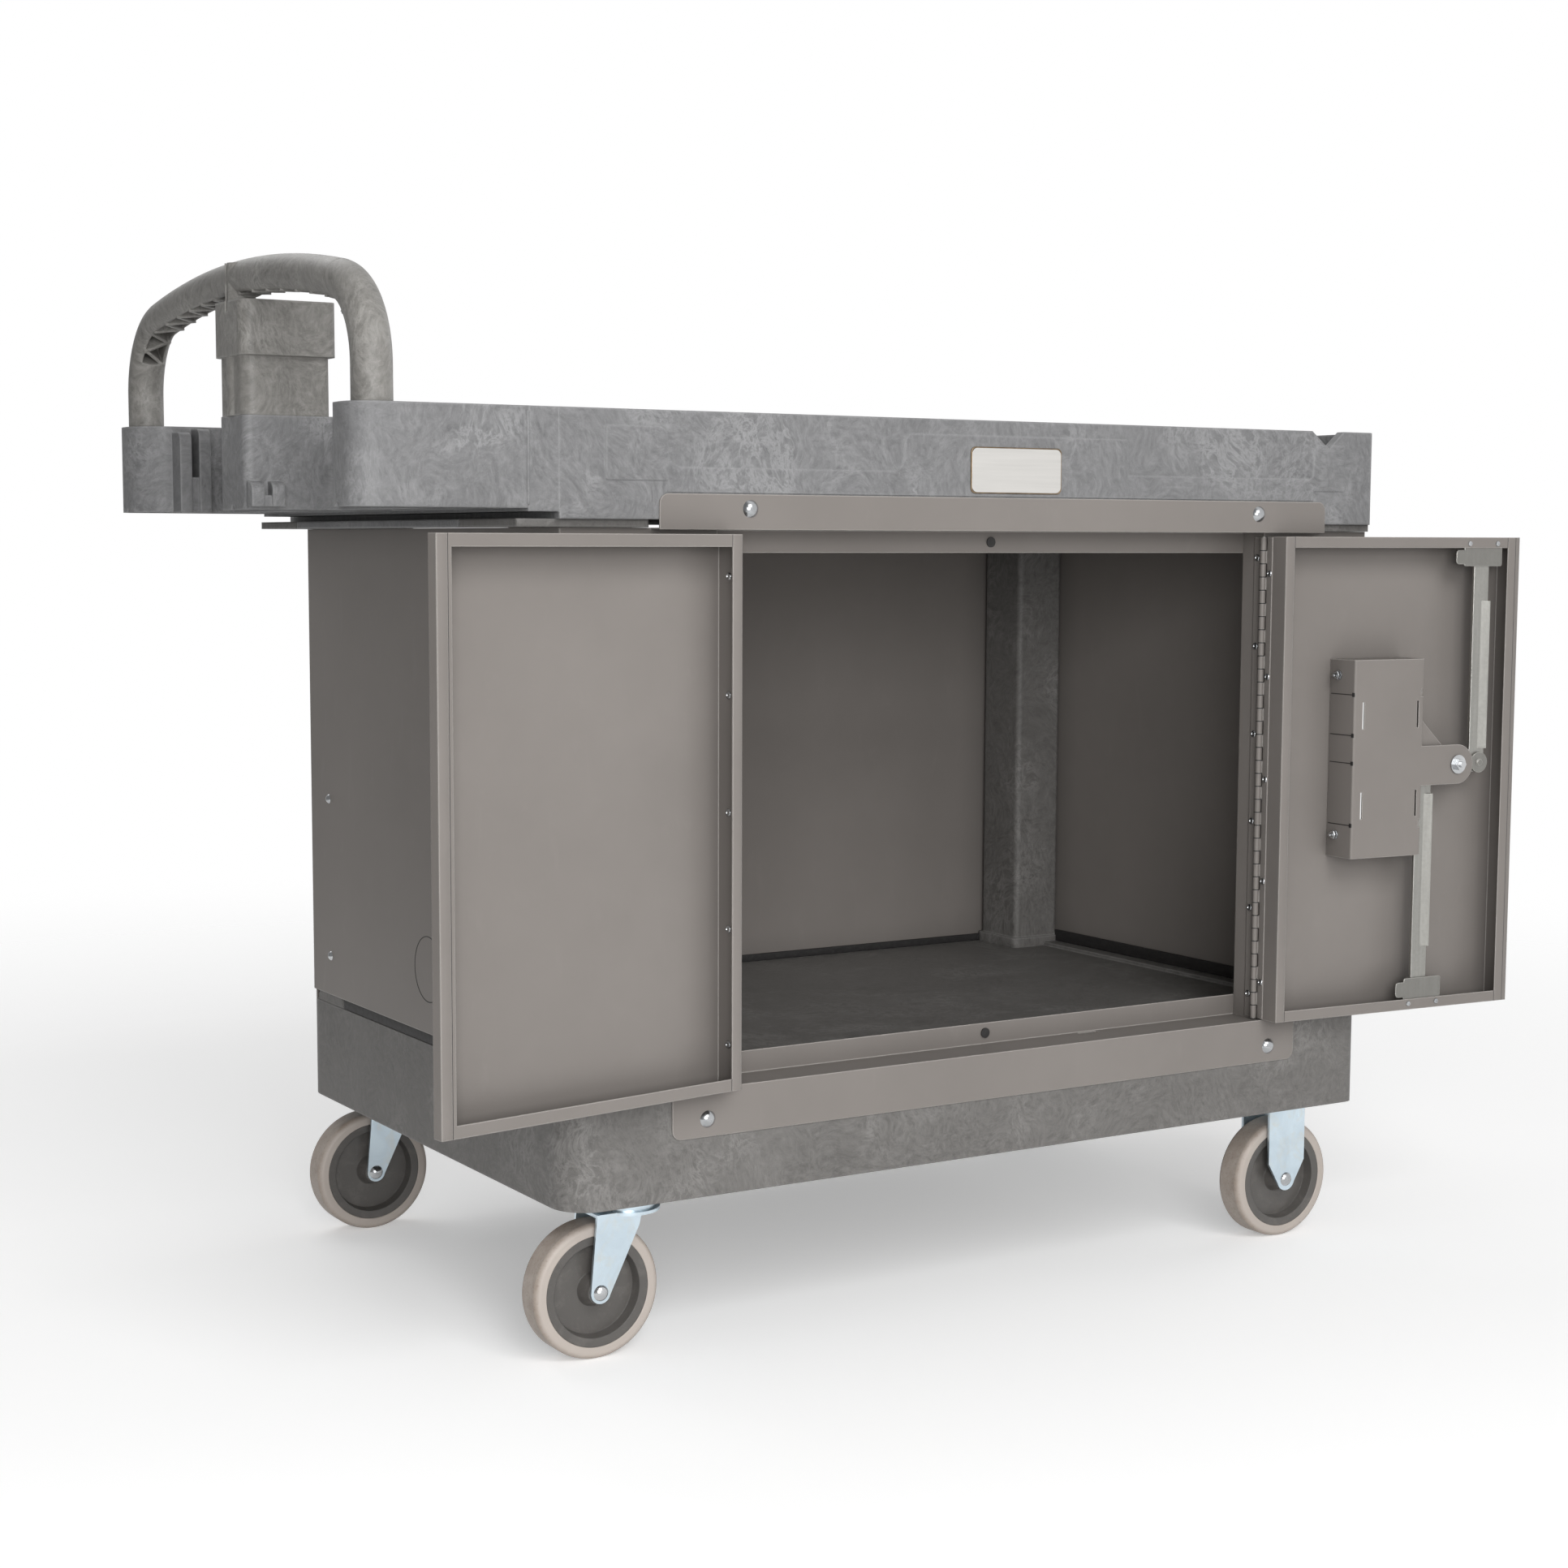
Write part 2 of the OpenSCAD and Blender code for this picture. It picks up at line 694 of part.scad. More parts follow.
// Slots through sill and head that take the lock rods when the right door is shut
module rod_slot(a, z0, z1) {
    x = right_pin_x - knuckle_d / 2 - a;
    y = -pin_y + rod_y;
    g = rod_gap + 1;
    block([x - rod_w / 2 - g, y - g, z0], [x + rod_w / 2 + g, y + rod_t + g, z1]);
}

module head_frame() {
    x0 = top_flange_x - top_flange_l / 2;
    x1 = top_flange_x + top_flange_l / 2;
    color(paint_colour) difference() {
        union() {
            run_y(-tray_y - sheet_t, -tray_y)
                round_plate([x0, head_z], [x1, head_z + top_flange_h], [0.5, 0.5, 9, 9]);
            block([x0, -tray_y - sheet_t, head_z], [x1, -stop_y + sheet_t, head_z + sheet_t]);
            block([-panel_x + sheet_t, -stile_y + sheet_t, head_z],
                [panel_x - sheet_t, -stop_y + sheet_t, head_z + sheet_t]);
            block([jamb_left, -stop_y, head_z - rail_drop], [jamb_right, -stop_y + sheet_t, head_z + eps]);
        }
        rod_slot(up_rod_a, head_z - 1, head_z + sheet_t + 1);
        for (x = flange_bolt_x)
            translate([x, 0, flange_bolt_z])
                rod_along_y(bolt_d / 2 + hole_gap, -tray_y - sheet_t - 1, -tray_y + 1);
    }
}

module sill_frame() {
    x0 = low_flange_x - low_flange_l / 2;
    x1 = low_flange_x + low_flange_l / 2;
    y0 = -base_w / 2 - sheet_t;
    color(paint_colour) difference() {
        union() {
            run_y(y0, -base_w / 2) round_plate([x0, sill_z - low_flange_h], [x1, sill_z], [9, 9, 0.5, 0.5]);
            block([x0, y0, base_top], [x1, -stop_y + sheet_t, sill_z]);
            block([jamb_left, -stop_y, base_top], [jamb_right, -stop_y + sheet_t, sill_z + upstand_h]);
        }
        rod_slot(low_rod_a, base_top - 1, sill_z + 1);
        for (x = sill_bolt_x)
            translate([x, 0, sill_bolt_z]) rod_along_y(bolt_d / 2 + hole_gap, y0 - 1, -base_w / 2 + 1);
    }
}

// Stile at -X with its jamb at the given distance from X = 0, cut round the head and sill
module stile(jamb, head_end, sill_end) {
    y0 = -stile_y;
    color(paint_colour) difference() {
        rise(sill_z, panel_z1) {
            plate2d([-panel_x, y0], [-jamb, y0 + sheet_t]);
            plate2d([-jamb - sheet_t, y0], [-jamb, -stop_y]);
            plate2d([-panel_x + sheet_t, y0 + sheet_t - eps], [-panel_x + 2 * sheet_t, y0 + 16]);
        }
        block([-head_end, y0 - 1, head_z], [-jamb + 1, -stop_y + 1, panel_z1 + 1]);
        block([-panel_x - 1, y0 + sheet_t, head_z], [-jamb + 1, -stop_y + 1, panel_z1 + 1]);
        block([-panel_x - 1, y0 - 1, sill_z - 1], [-sill_end, y0 + 20, panel_z0]);
    }
}

// Piano hinges; pin at the origin, +Y into the cabinet, frame leaf at -X and door leaf at +X
module knuckle_row(first) {
    for (i = [first:2:knuckles - 1])
        translate([0, 0, hinge_z0 + i * knuckle_pitch + knuckle_gap / 2]) children();
}

module hinge_leaf(side, first, leaf_w) {
    r = knuckle_d / 2;
    len = knuckle_pitch - knuckle_gap;
    x0 = side < 0 ? -r : r - leaf_t;
    color(steel_colour) difference() {
        union() {
            block([x0, r + 0.4, hinge_z0], [x0 + leaf_t, leaf_w, hinge_z0 + hinge_l]);
            knuckle_row(first) {
                cylinder(h = len, r = r, $fn = 32);
                block([x0, 0, 0], [x0 + leaf_t, r + 0.41, len]);
            }
        }
        translate([0, 0, hinge_z0 - 1]) cylinder(h = hinge_l + 2, r = pin_d / 2 + run_gap, $fn = 32);
    }
}

module hinge_pin(x) {
    color(steel_colour) translate([x, -pin_y, 0]) {
        translate([0, 0, hinge_z0 - 0.7]) cylinder(h = hinge_l + 1.4, d = pin_d, $fn = 32);
        for (z = [hinge_z0 - 0.7, hinge_z0 + hinge_l - 0.15])
            translate([0, 0, z]) cylinder(h = 0.85, d = knuckle_d - 1.2, $fn = 32);
    }
}

// Frames of the two doors: the pin is the origin, +X runs to the free edge and +Y into the cabinet
module left_door_place() {
    translate([left_pin_x, -pin_y, 0]) rotate(-left_open) children();
}

module right_door_place() {
    translate([right_pin_x, -pin_y, 0]) rotate(right_open) mirror([1, 0, 0]) children();
}

module door_shell(w) {
    x0 = knuckle_d / 2;
    s = door_sheet;
    difference() {
        rise(door_z0, door_z1) round_plate([x0, 0], [x0 + w, door_t], [2, 2, 0.6, 0.6]);
        block([x0 + s, s, door_z0 + s], [x0 + w - s, door_t - s, door_z1 - s]);
        block([x0 + return_w, door_t - 2 * s, door_z0 + return_w],
            [x0 + w - return_w, door_t + 1, door_z1 - return_w]);
    }
}

module left_door_pan() {
    x0 = knuckle_d / 2;
    s = door_sheet;
    edge = x0 + left_w;
    end = edge + lip_out;
    color(paint_colour) left_door_place() difference() {
        rise(door_z0, door_z1) difference() {
            round_plate([x0, 0], [end, door_t], [2, 2, 0.6, 0.6]);
            plate2d([edge, -1], [end + 1, lip_back]);
        }
        rise(door_z0 + s, door_z1 - s) {
            plate2d([x0 + s, s], [edge - s, door_t - s]);
            plate2d([edge - s - eps, lip_back + s], [end - s, door_t - s]);
        }
        block([x0 + return_w, door_t - 2 * s, door_z0 + return_w],
            [end - edge_return_w, door_t + 1, door_z1 - return_w]);
    }
}

module right_door_pan() {
    x0 = knuckle_d / 2;
    g = rod_gap;
    m = 8;
    color(paint_colour) right_door_place() difference() {
        door_shell(right_w);
        // Window of the handle pocket and hole of the latch shaft
        block([x0 + box_a + m, -1, box_z + m], [x0 + box_a + box_w - m, door_sheet + 1, box_z + box_h - m]);
        translate([x0 + shaft_a, 0, shaft_z]) rod_along_y(shaft_d / 2 + 0.3, -1, door_sheet + 1);
        // Slots of the lock rods
        block([x0 + up_rod_a - rod_w / 2 - g, rod_y - g, door_z1 - 3],
            [x0 + up_rod_a + rod_w / 2 + g, rod_y + rod_t + g, door_z1 + 1]);
        block([x0 + low_rod_a - rod_w / 2 - g, rod_y - g, door_z0 - 1],
            [x0 + low_rod_a + rod_w / 2 + g, rod_y + rod_t + g, door_z0 + 3]);
    }
}

// Latch box with its pocket open to the outside, and the tongue that carries the shaft
module latch_box() {
    x0 = knuckle_d / 2 + box_a;
    x1 = x0 + box_w;
    y1 = door_t + box_out;
    shaft_x = knuckle_d / 2 + shaft_a;
    s = sheet_t;
    color(paint_colour) right_door_place() difference() {
        union() {
            difference() {
                rise(box_z, box_z + box_h) round_plate([x0, door_sheet], [x1, y1], [0.3, 0.3, 2, 2]);
                block([x0 + s, 0, box_z + s], [x1 - s, y1 - s, box_z + box_h - s]);
            }
            run_y(y1 - s, y1) {
                plate2d([x1 - 3, shaft_z - 21], [shaft_x, shaft_z + 21]);
                translate([shaft_x, shaft_z]) circle(r = 21);
            }
            // Corner gusset over the tongue
            run_y(y1 - 6, y1 - 6 + s)
                polygon([[x1 - 1, shaft_z + 18], [x1 + 33, shaft_z + 18], [x1 - 1, shaft_z + 51]]);
            block([x1 - 1, y1 - 6, shaft_z + 18], [x1 + 33, y1 - s + eps, shaft_z + 19.5]);
        }
        translate([shaft_x, 0, shaft_z]) rod_along_y(shaft_d / 2 + run_gap, y1 - 3, y1 + 1, 64);
        // Tab slots of the folded sheet
        for (z = [shaft_z + 41, shaft_z - 53]) for (x = [x0 + 11, x1 - 9])
            block([x, y1 - 3, z], [x + 2.4, y1 + 1, z + 28]);
        for (z = [589, 451])
            block([x1 - 4, y1 - 3, z - 4], [x1 + 1, y1 + 1, z + 4]);
    }
}

// Guide round a lock rod: a closed loop whose front plate is riveted to the inside of the return
module rod_guide(a, low_a, high_a, z0, z1, wing_z0, wing_z1) {
    x = knuckle_d / 2 + a;
    w = rod_w / 2 + rod_gap;
    s = sheet_t;
    color(steel_colour) right_door_place() {
        difference() {
            block([x - w - s, rod_y - rod_gap - s, z0], [x + w + s, guide_y + eps, z1]);
            block([x - w, rod_y - rod_gap, z0 - 1], [x + w, guide_y + 1, z1 + 1]);
        }
        run_y(guide_y, guide_y + s) {
            round_plate([x + low_a, z0], [x + high_a, z1], [2, 2, 2, 2]);
            round_plate([x + low_a - guide_wing, wing_z0], [x + low_a + 3, wing_z1], [4, 1, 1, 4]);
        }
    }
}

module rod_guide_upper() {
    z0 = door_z1 - return_w - guide_h;
    z1 = door_z1 - return_w;
    rod_guide(up_rod_a, -26, 26, z0, door_z1 - door_sheet - 1, z0 + 2, z1 - 2);
}

module rod_guide_lower() {
    z0 = door_z0 + return_w;
    z1 = z0 + guide_h + 3;
    rod_guide(low_rod_a, -21, 29, door_z0 + door_sheet + 1, z1, z0 + 2, z1 - 4);
}

// Latch: outside lever with its shaft, double crank and nut
module latch_lever() {
    x = knuckle_d / 2 + shaft_a;
    y0 = -5.6;
    color(zinc_colour) right_door_place() translate([x, 0, shaft_z]) {
        rod_along_y(shaft_d / 2, y0, door_t + box_out, 64);
        rod_along_y(nut_d / 2, door_t, door_t + box_out + 9);
        difference() {
            union() {
                run_y(y0, y0 + 5) plate2d([-lever_l, -12], [0, 12]);
                rod_along_y(16, y0, y0 + 5);
                translate([-lever_l, 0, 0]) rod_along_y(12, y0, y0 + 5);
            }
            translate([-lever_l, 0, 0]) rod_along_y(5, y0 - 1, y0 + 6);
        }
    }
}

module latch_cam() {
    x = knuckle_d / 2 + shaft_a;
    color(zinc_colour) right_door_place() translate([x, 0, shaft_z]) {
        difference() {
            union() {
                run_y(cam_y, cam_y + cam_t) plate2d([-crank_r, -7], [crank_r, 7]);
                rod_along_y(14, cam_y, cam_y + cam_t);
                translate([crank_r, 0, 0]) rod_along_y(11, cam_y, cam_y + cam_t);
                translate([-crank_r, 0, 0]) rod_along_y(7.5, cam_y, cam_y + cam_t);
            }
            rod_along_y(shaft_d / 2 + run_gap, cam_y - 1, cam_y + cam_t + 1, 64);
        }
        for (s = [-1, 1])
            translate([s * crank_r, 0, 0]) rod_along_y(crank_pin_d / 2, rod_y - 0.5, cam_y + cam_t + 1.5);
    }
}

module latch_nut() {
    x = knuckle_d / 2 + shaft_a;
    y = door_t + box_out + 0.3;
    color(zinc_colour) right_door_place() translate([x, 0, shaft_z]) difference() {
        union() {
            rod_along_y(10, y, y + 1.6);
            rod_along_y(6.6, y + 1.6 - eps, y + 6.4, 6);
        }
        rod_along_y(nut_d / 2 + run_gap, y - 1, y + 9);
    }
}

// Flat lock rod with a slanted stiffening fold and a cross slot for its crank pin
module lock_rod(a, z0, z1, fold_z0, fold_z1) {
    x = knuckle_d / 2 + a;
    color(steel_colour) right_door_place() difference() {
        union() {
            block([x - rod_w / 2, rod_y, z0], [x + rod_w / 2, rod_y + rod_t, z1]);
            rise(fold_z0, fold_z1) polygon([
                [x + 1, rod_y + rod_t - eps],
                [x + rod_w / 2, rod_y + rod_t - eps],
                [x + rod_w / 2, rod_y + rod_t + 4]
            ]);
        }
        block([x - rod_slot_w / 2, rod_y - 1, shaft_z - rod_slot_h / 2],
            [x + rod_slot_w / 2, rod_y + rod_t + 1, shaft_z + rod_slot_h / 2]);
    }
}

module lock_rod_upper() {
    lock_rod(up_rod_a, shaft_z - 10, up_rod_top, shaft_z + 15, 684);
}

module lock_rod_lower() {
    lock_rod(low_rod_a, low_rod_end, shaft_z + 10, 317, shaft_z - 31);
}

// Casters: the wheel's axle is the origin, and the swivel axis lies at +X by the trail
module wheel_place(x, side) {
    translate([x, side * wheel_y, wheel_d / 2]) children();
}

module spin_y() {
    rotate([90, 0, 0]) rotate_extrude($fn = 96) children();
}

module tyre(x, side) {
    r = wheel_d / 2;
    w = wheel_w / 2;
    color(tyre_colour) wheel_place(x, side) spin_y() round_plate([r - 11.5, -w], [r, w], [1, 6, 6, 1]);
}

module core(x, side) {
    r = wheel_d / 2 - 11.5 - run_gap;
    w = wheel_w / 2;
    hub = w + 3 - hub_gap;
    bore = axle_d / 2 + run_gap;
    half = [[bore, hub], [11, hub], [16, 5], [r - 10, 4], [r - 8, w - 1.5], [r, w - 0.5]];
    other = [for (i = [len(half) - 1:-1:0]) [half[i].x, -half[i].y]];
    color(core_colour) wheel_place(x, side) spin_y() polygon(concat(half, other));
}

module axle_dome() {
    intersection() {
        translate([0, 0, -5]) sphere(r = 9, $fn = 48);
        cylinder(h = 5, r = 7.5, $fn = 48);
    }
}

module axle(x, side) {
    face = wheel_w / 2 + 3 + fork_t;
    color(zinc_colour) wheel_place(x, side) both_sides() {
        rod_along_y(axle_d / 2, -face - 0.5, eps);
        translate([0, -face - 0.05, 0]) rotate([90, 0, 0]) axle_dome();
    }
}

module fork_legs() {
    inner = wheel_w / 2 + 3;
    both_sides() difference() {
        run_y(-inner - fork_t, -inner) children();
        rod_along_y(axle_d / 2 + run_gap, -inner - fork_t - 1, -inner + 1);
    }
}

module swivel_fork(side) {
    top = caster_h - wheel_d / 2 - 29;
    half = wheel_w / 2 + 3 + fork_t;
    color(zinc_colour) wheel_place(swivel_x - trail, side) difference() {
        union() {
            fork_legs() {
                circle(r = 10);
                polygon([[-10, 0], [9.4, -3], [trail + 1.6, 58.5], [trail + 5, top], [-3.4, top]]);
            }
            rise(top - fork_t, top) {
                plate2d([-3.4, -half], [trail + 5, half]);
                translate([trail, 0]) circle(r = 31);
            }
            translate([trail, 0, top - eps]) cylinder(h = 10, r = 27);
            translate([trail, 0, top + 10 - 2 * eps]) cylinder(h = 5, r = 31);
        }
        translate([trail, 0, top - fork_t - 1]) cylinder(h = 30, r = kingpin_d / 2 + run_gap);
    }
}

module swivel_plate(side) {
    low = caster_h - 29 - fork_t;
    color(zinc_colour) translate([swivel_x, side * wheel_y, 0]) {
        rise(caster_h - 3, caster_h) round_plate([-48, -33], [48, 33], [6, 6, 6, 6]);
        translate([0, 0, caster_h - 13.7]) cylinder(h = 11, r = 26);
        translate([0, 0, low - 0.3]) cylinder(h = 20, d = kingpin_d);
        translate([0, 0, low - 2.8]) cylinder(h = 2.5, d = kingpin_d + 7);
    }
}

module rigid_fork(side) {
    top = caster_h - wheel_d / 2;
    color(zinc_colour) wheel_place(rigid_x, side) {
        fork_legs() {
            circle(r = 12);
            polygon([[-25, top - 2], [-25, 19.5], [-11.5, -3.4], [11.5, -3.4], [25, 19.5], [25, top - 2]]);
        }
        rise(top - 3, top) round_plate([-48, -33], [48, 33], [6, 6, 6, 6]);
    }
}

// Fasteners, name plate and bumpers
module button_head(d, h) {
    r = (d * d / 4 + h * h) / (2 * h);
    intersection() {
        translate([0, 0, h - r]) sphere(r = r, $fn = 48);
        cylinder(h = h + 1, d = d + 1, $fn = 48);
    }
}

module carriage_bolt(x, face, z) {
    translate([x, -face, z]) {
        rotate([90, 0, 0]) button_head(16, 4.5);
        rod_along_y(bolt_d / 2, -eps, sheet_t + 12);
    }
}

module flange_bolts() {
    color(zinc_colour) {
        for (x = flange_bolt_x) carriage_bolt(x, tray_y + sheet_t, flange_bolt_z);
        for (x = sill_bolt_x) carriage_bolt(x, base_w / 2 + sheet_t, sill_bolt_z);
    }
}

module panel_screws() {
    color(zinc_colour) for (side = [0, 1]) mirror([side, 0, 0])
        for (z = panel_screw_z) for (y = [-front_screw_y, back_screw_y]) translate([-panel_x, y, z]) {
            rotate([0, -90, 0]) button_head(10, 3);
            translate([-eps, 0, 0]) rotate([0, 90, 0]) cylinder(h = sheet_t + post_t, d = screw_d, $fn = 32);
        }
}

module name_plate() {
    y = tray_y + relief_t;
    half = [plate_l / 2, plate_h / 2];
    color(zinc_colour) run_y(-y - 1.6, -y)
        round_plate([plate_x, plate_z] - half, [plate_x, plate_z] + half, [6, 6, 6, 6]);
}

module door_bumpers() {
    color(rubber_colour) for (z = [sill_z + 11, head_z - 10.4])
        translate([bumper_x, 0, z]) rod_along_y(bumper_r, -stop_y - 1.3, -stop_y);
}

module leaf_left_place() {
    translate([left_pin_x, -pin_y, 0]) children();
}

module leaf_right_place() {
    translate([right_pin_x, -pin_y, 0]) mirror([1, 0, 0]) children();
}

base_deck();
post(post_back_y, collar_handle, back_screw_y);  // post_back_left
mirror([0, 1, 0]) post(post_front_y, collar_handle, front_screw_y);  // post_front_left
mirror([1, 0, 0]) post(post_back_y, collar_far, back_screw_y);  // post_back_right
rotate(180) post(post_front_y, collar_far, front_screw_y);  // post_front_right
upper_tray();
handle_console();
push_handle();
side_panel();  // side_panel_left
mirror([1, 0, 0]) side_panel();  // side_panel_right
back_panel();
head_frame();
sill_frame();
stile(-jamb_left, head_end_left, sill_end_left);  // stile_left
mirror([1, 0, 0]) stile(jamb_right, head_end_right, sill_end_right);  // stile_right
leaf_left_place() hinge_leaf(-1, 0, frame_leaf_w);  // frame_leaf_left
leaf_right_place() hinge_leaf(-1, 0, frame_leaf_w);  // frame_leaf_right
hinge_pin(left_pin_x);  // hinge_pin_left
hinge_pin(right_pin_x);  // hinge_pin_right
flange_bolts();
panel_screws();
name_plate();
door_bumpers();
left_door_pan();
left_door_place() hinge_leaf(1, 1, door_leaf_w);  // left_door_leaf
right_door_pan();
right_door_place() hinge_leaf(1, 1, door_leaf_w);  // right_door_leaf
latch_box();
rod_guide_upper();
rod_guide_lower();
latch_lever();
latch_cam();
latch_nut();
lock_rod_upper();
lock_rod_lower();
swivel_plate(-1);  // swivel_plate_front
swivel_plate(1);  // swivel_plate_back
swivel_fork(-1);  // swivel_fork_front
swivel_fork(1);  // swivel_fork_back
rigid_fork(-1);  // rigid_fork_front
rigid_fork(1);  // rigid_fork_back
axle(swivel_wheel_x, -1);  // axle_swivel_front
axle(swivel_wheel_x, 1);  // axle_swivel_back
axle(rigid_x, -1);  // axle_rigid_front
axle(rigid_x, 1);  // axle_rigid_back
tyre(swivel_wheel_x, -1);  // tyre_swivel_front
tyre(swivel_wheel_x, 1);  // tyre_swivel_back
tyre(rigid_x, -1);  // tyre_rigid_front
tyre(rigid_x, 1);  // tyre_rigid_back
core(swivel_wheel_x, -1);  // core_swivel_front
core(swivel_wheel_x, 1);  // core_swivel_back
core(rigid_x, -1);  // core_rigid_front
core(rigid_x, 1);  // core_rigid_back
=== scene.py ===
# %% [markdown]
# # A utility cart, dressed over its fixed frame
# The solids of the cart come ready made, each named and in its place. This lesson gives every one of them
# a finish worked out from Object coordinates, adds the small pieces that make it look real, such as rivets
# and nuts, and sets up the light and the camera. Everything is in metres, with the floor at Z = 0.

# %% Load the frame
import math
import bpy
import numpy as np
from mathutils import Matrix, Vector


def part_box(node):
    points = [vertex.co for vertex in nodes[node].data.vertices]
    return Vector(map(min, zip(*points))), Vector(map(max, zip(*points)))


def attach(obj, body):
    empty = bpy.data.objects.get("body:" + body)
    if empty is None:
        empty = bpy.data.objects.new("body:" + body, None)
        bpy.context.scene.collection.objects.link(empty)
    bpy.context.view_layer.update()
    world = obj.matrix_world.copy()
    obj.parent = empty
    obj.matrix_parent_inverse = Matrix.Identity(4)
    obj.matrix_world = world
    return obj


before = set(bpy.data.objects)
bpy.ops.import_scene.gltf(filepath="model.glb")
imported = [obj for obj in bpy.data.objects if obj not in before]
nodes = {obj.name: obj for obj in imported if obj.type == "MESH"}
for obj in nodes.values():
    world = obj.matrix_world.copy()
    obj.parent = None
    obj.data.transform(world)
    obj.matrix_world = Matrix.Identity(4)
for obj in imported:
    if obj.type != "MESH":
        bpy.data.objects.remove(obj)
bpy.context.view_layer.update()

# %% [markdown]
# ## The camera
# The photograph was taken from the front left, a little below the tray's rim, so the tray's inside stays hidden.
# A pinhole camera has only a place, a direction and a focal length. The small shift stands for a picture
# that was cropped off centre, and the roll for a camera that leaned by a seventh of a degree.

# %% Camera
picture_px = 1932
focal_px = 3164.1
centre_px = (927.93, 989.82)
camera_place = (-1.4854, -2.3096, 0.7437)
yaw, pitch, roll = math.radians(31.05), math.radians(5.79), math.radians(0.14)


def aim(yaw, pitch, roll):
    """Right, up and back directions of a camera turned right by yaw, down by pitch and then rolled."""
    ahead = np.array([math.sin(yaw) * math.cos(pitch), math.cos(yaw) * math.cos(pitch), -math.sin(pitch)])
    level = np.array([math.cos(yaw), -math.sin(yaw), 0.0])
    above = np.cross(level, ahead)
    right = math.cos(roll) * level + math.sin(roll) * above
    up = math.cos(roll) * above - math.sin(roll) * level
    return right, up, -ahead


camera = bpy.data.objects.new("camera", bpy.data.cameras.new("camera"))
bpy.context.scene.collection.objects.link(camera)
camera.data.sensor_width = 36.0
camera.data.lens = 36.0 * focal_px / picture_px
camera.data.shift_x = (picture_px / 2 - centre_px[0]) / picture_px
camera.data.shift_y = (centre_px[1] - picture_px / 2) / picture_px
camera.data.clip_end = 60.0
pose = np.eye(4)
pose[:3, 0], pose[:3, 1], pose[:3, 2] = aim(yaw, pitch, roll)
pose[:3, 3] = camera_place
camera.matrix_world = Matrix(pose)
bpy.context.scene.camera = camera
print("lens", round(camera.data.lens, 2), "mm")

# %% [markdown]
# ## Shader maths as Python
# A node tree for marbled resin holds a few dozen Math nodes. Written as expressions it can be read and
# changed. `Value` wraps a socket, and each operator adds the Math node that does it. `Nodes` has one
# method that adds any other node, and `Finish` builds on it to make a material with one Principled shader.

# %% Value
class Value:
    """A socket of a node tree; +, - and * with numbers or other values add Math nodes."""

    def __init__(self, tree, socket):
        self.tree, self.socket = tree, socket

    def maths(self, operation, other, turned=False):
        """Adds a Math node; turned puts the other value first."""
        node = self.tree.nodes.new("ShaderNodeMath")
        node.operation = operation
        pair = (other, self) if turned else (self, other)
        for slot, item in zip(node.inputs, pair):
            if isinstance(item, Value):
                self.tree.links.new(item.socket, slot)
            else:
                slot.default_value = item
        return Value(self.tree, node.outputs[0])

    def __add__(self, other):
        return self.maths("ADD", other)

    def __radd__(self, other):
        return self.maths("ADD", other, True)

    def __sub__(self, other):
        return self.maths("SUBTRACT", other)

    def __rsub__(self, other):
        return self.maths("SUBTRACT", other, True)

    def __mul__(self, other):
        return self.maths("MULTIPLY", other)

# %% Nodes
class Nodes:
    """A node tree, with one method that adds any node."""

    def __init__(self, tree):
        self.tree = tree

    def node(self, kind, settings=None, inputs=None, out=0):
        """Adds a node: first its settings, then the numbers or links of its sockets."""
        node = self.tree.nodes.new(kind)
        for key, item in (settings or {}).items():
            if key == "stops":
                ramp = node.color_ramp.elements
                while len(ramp) < len(item):
                    ramp.new(0.5)
                for stop, (at, level) in zip(ramp, item):
                    stop.position = at
                    stop.color = (level, level, level, 1.0)
            else:
                setattr(node, key, item)
        for key, item in (inputs or {}).items():
            if isinstance(item, Value):
                self.tree.links.new(item.socket, node.inputs[key])
            else:
                node.inputs[key].default_value = item
        return None if out is None else Value(self.tree, node.outputs[out])

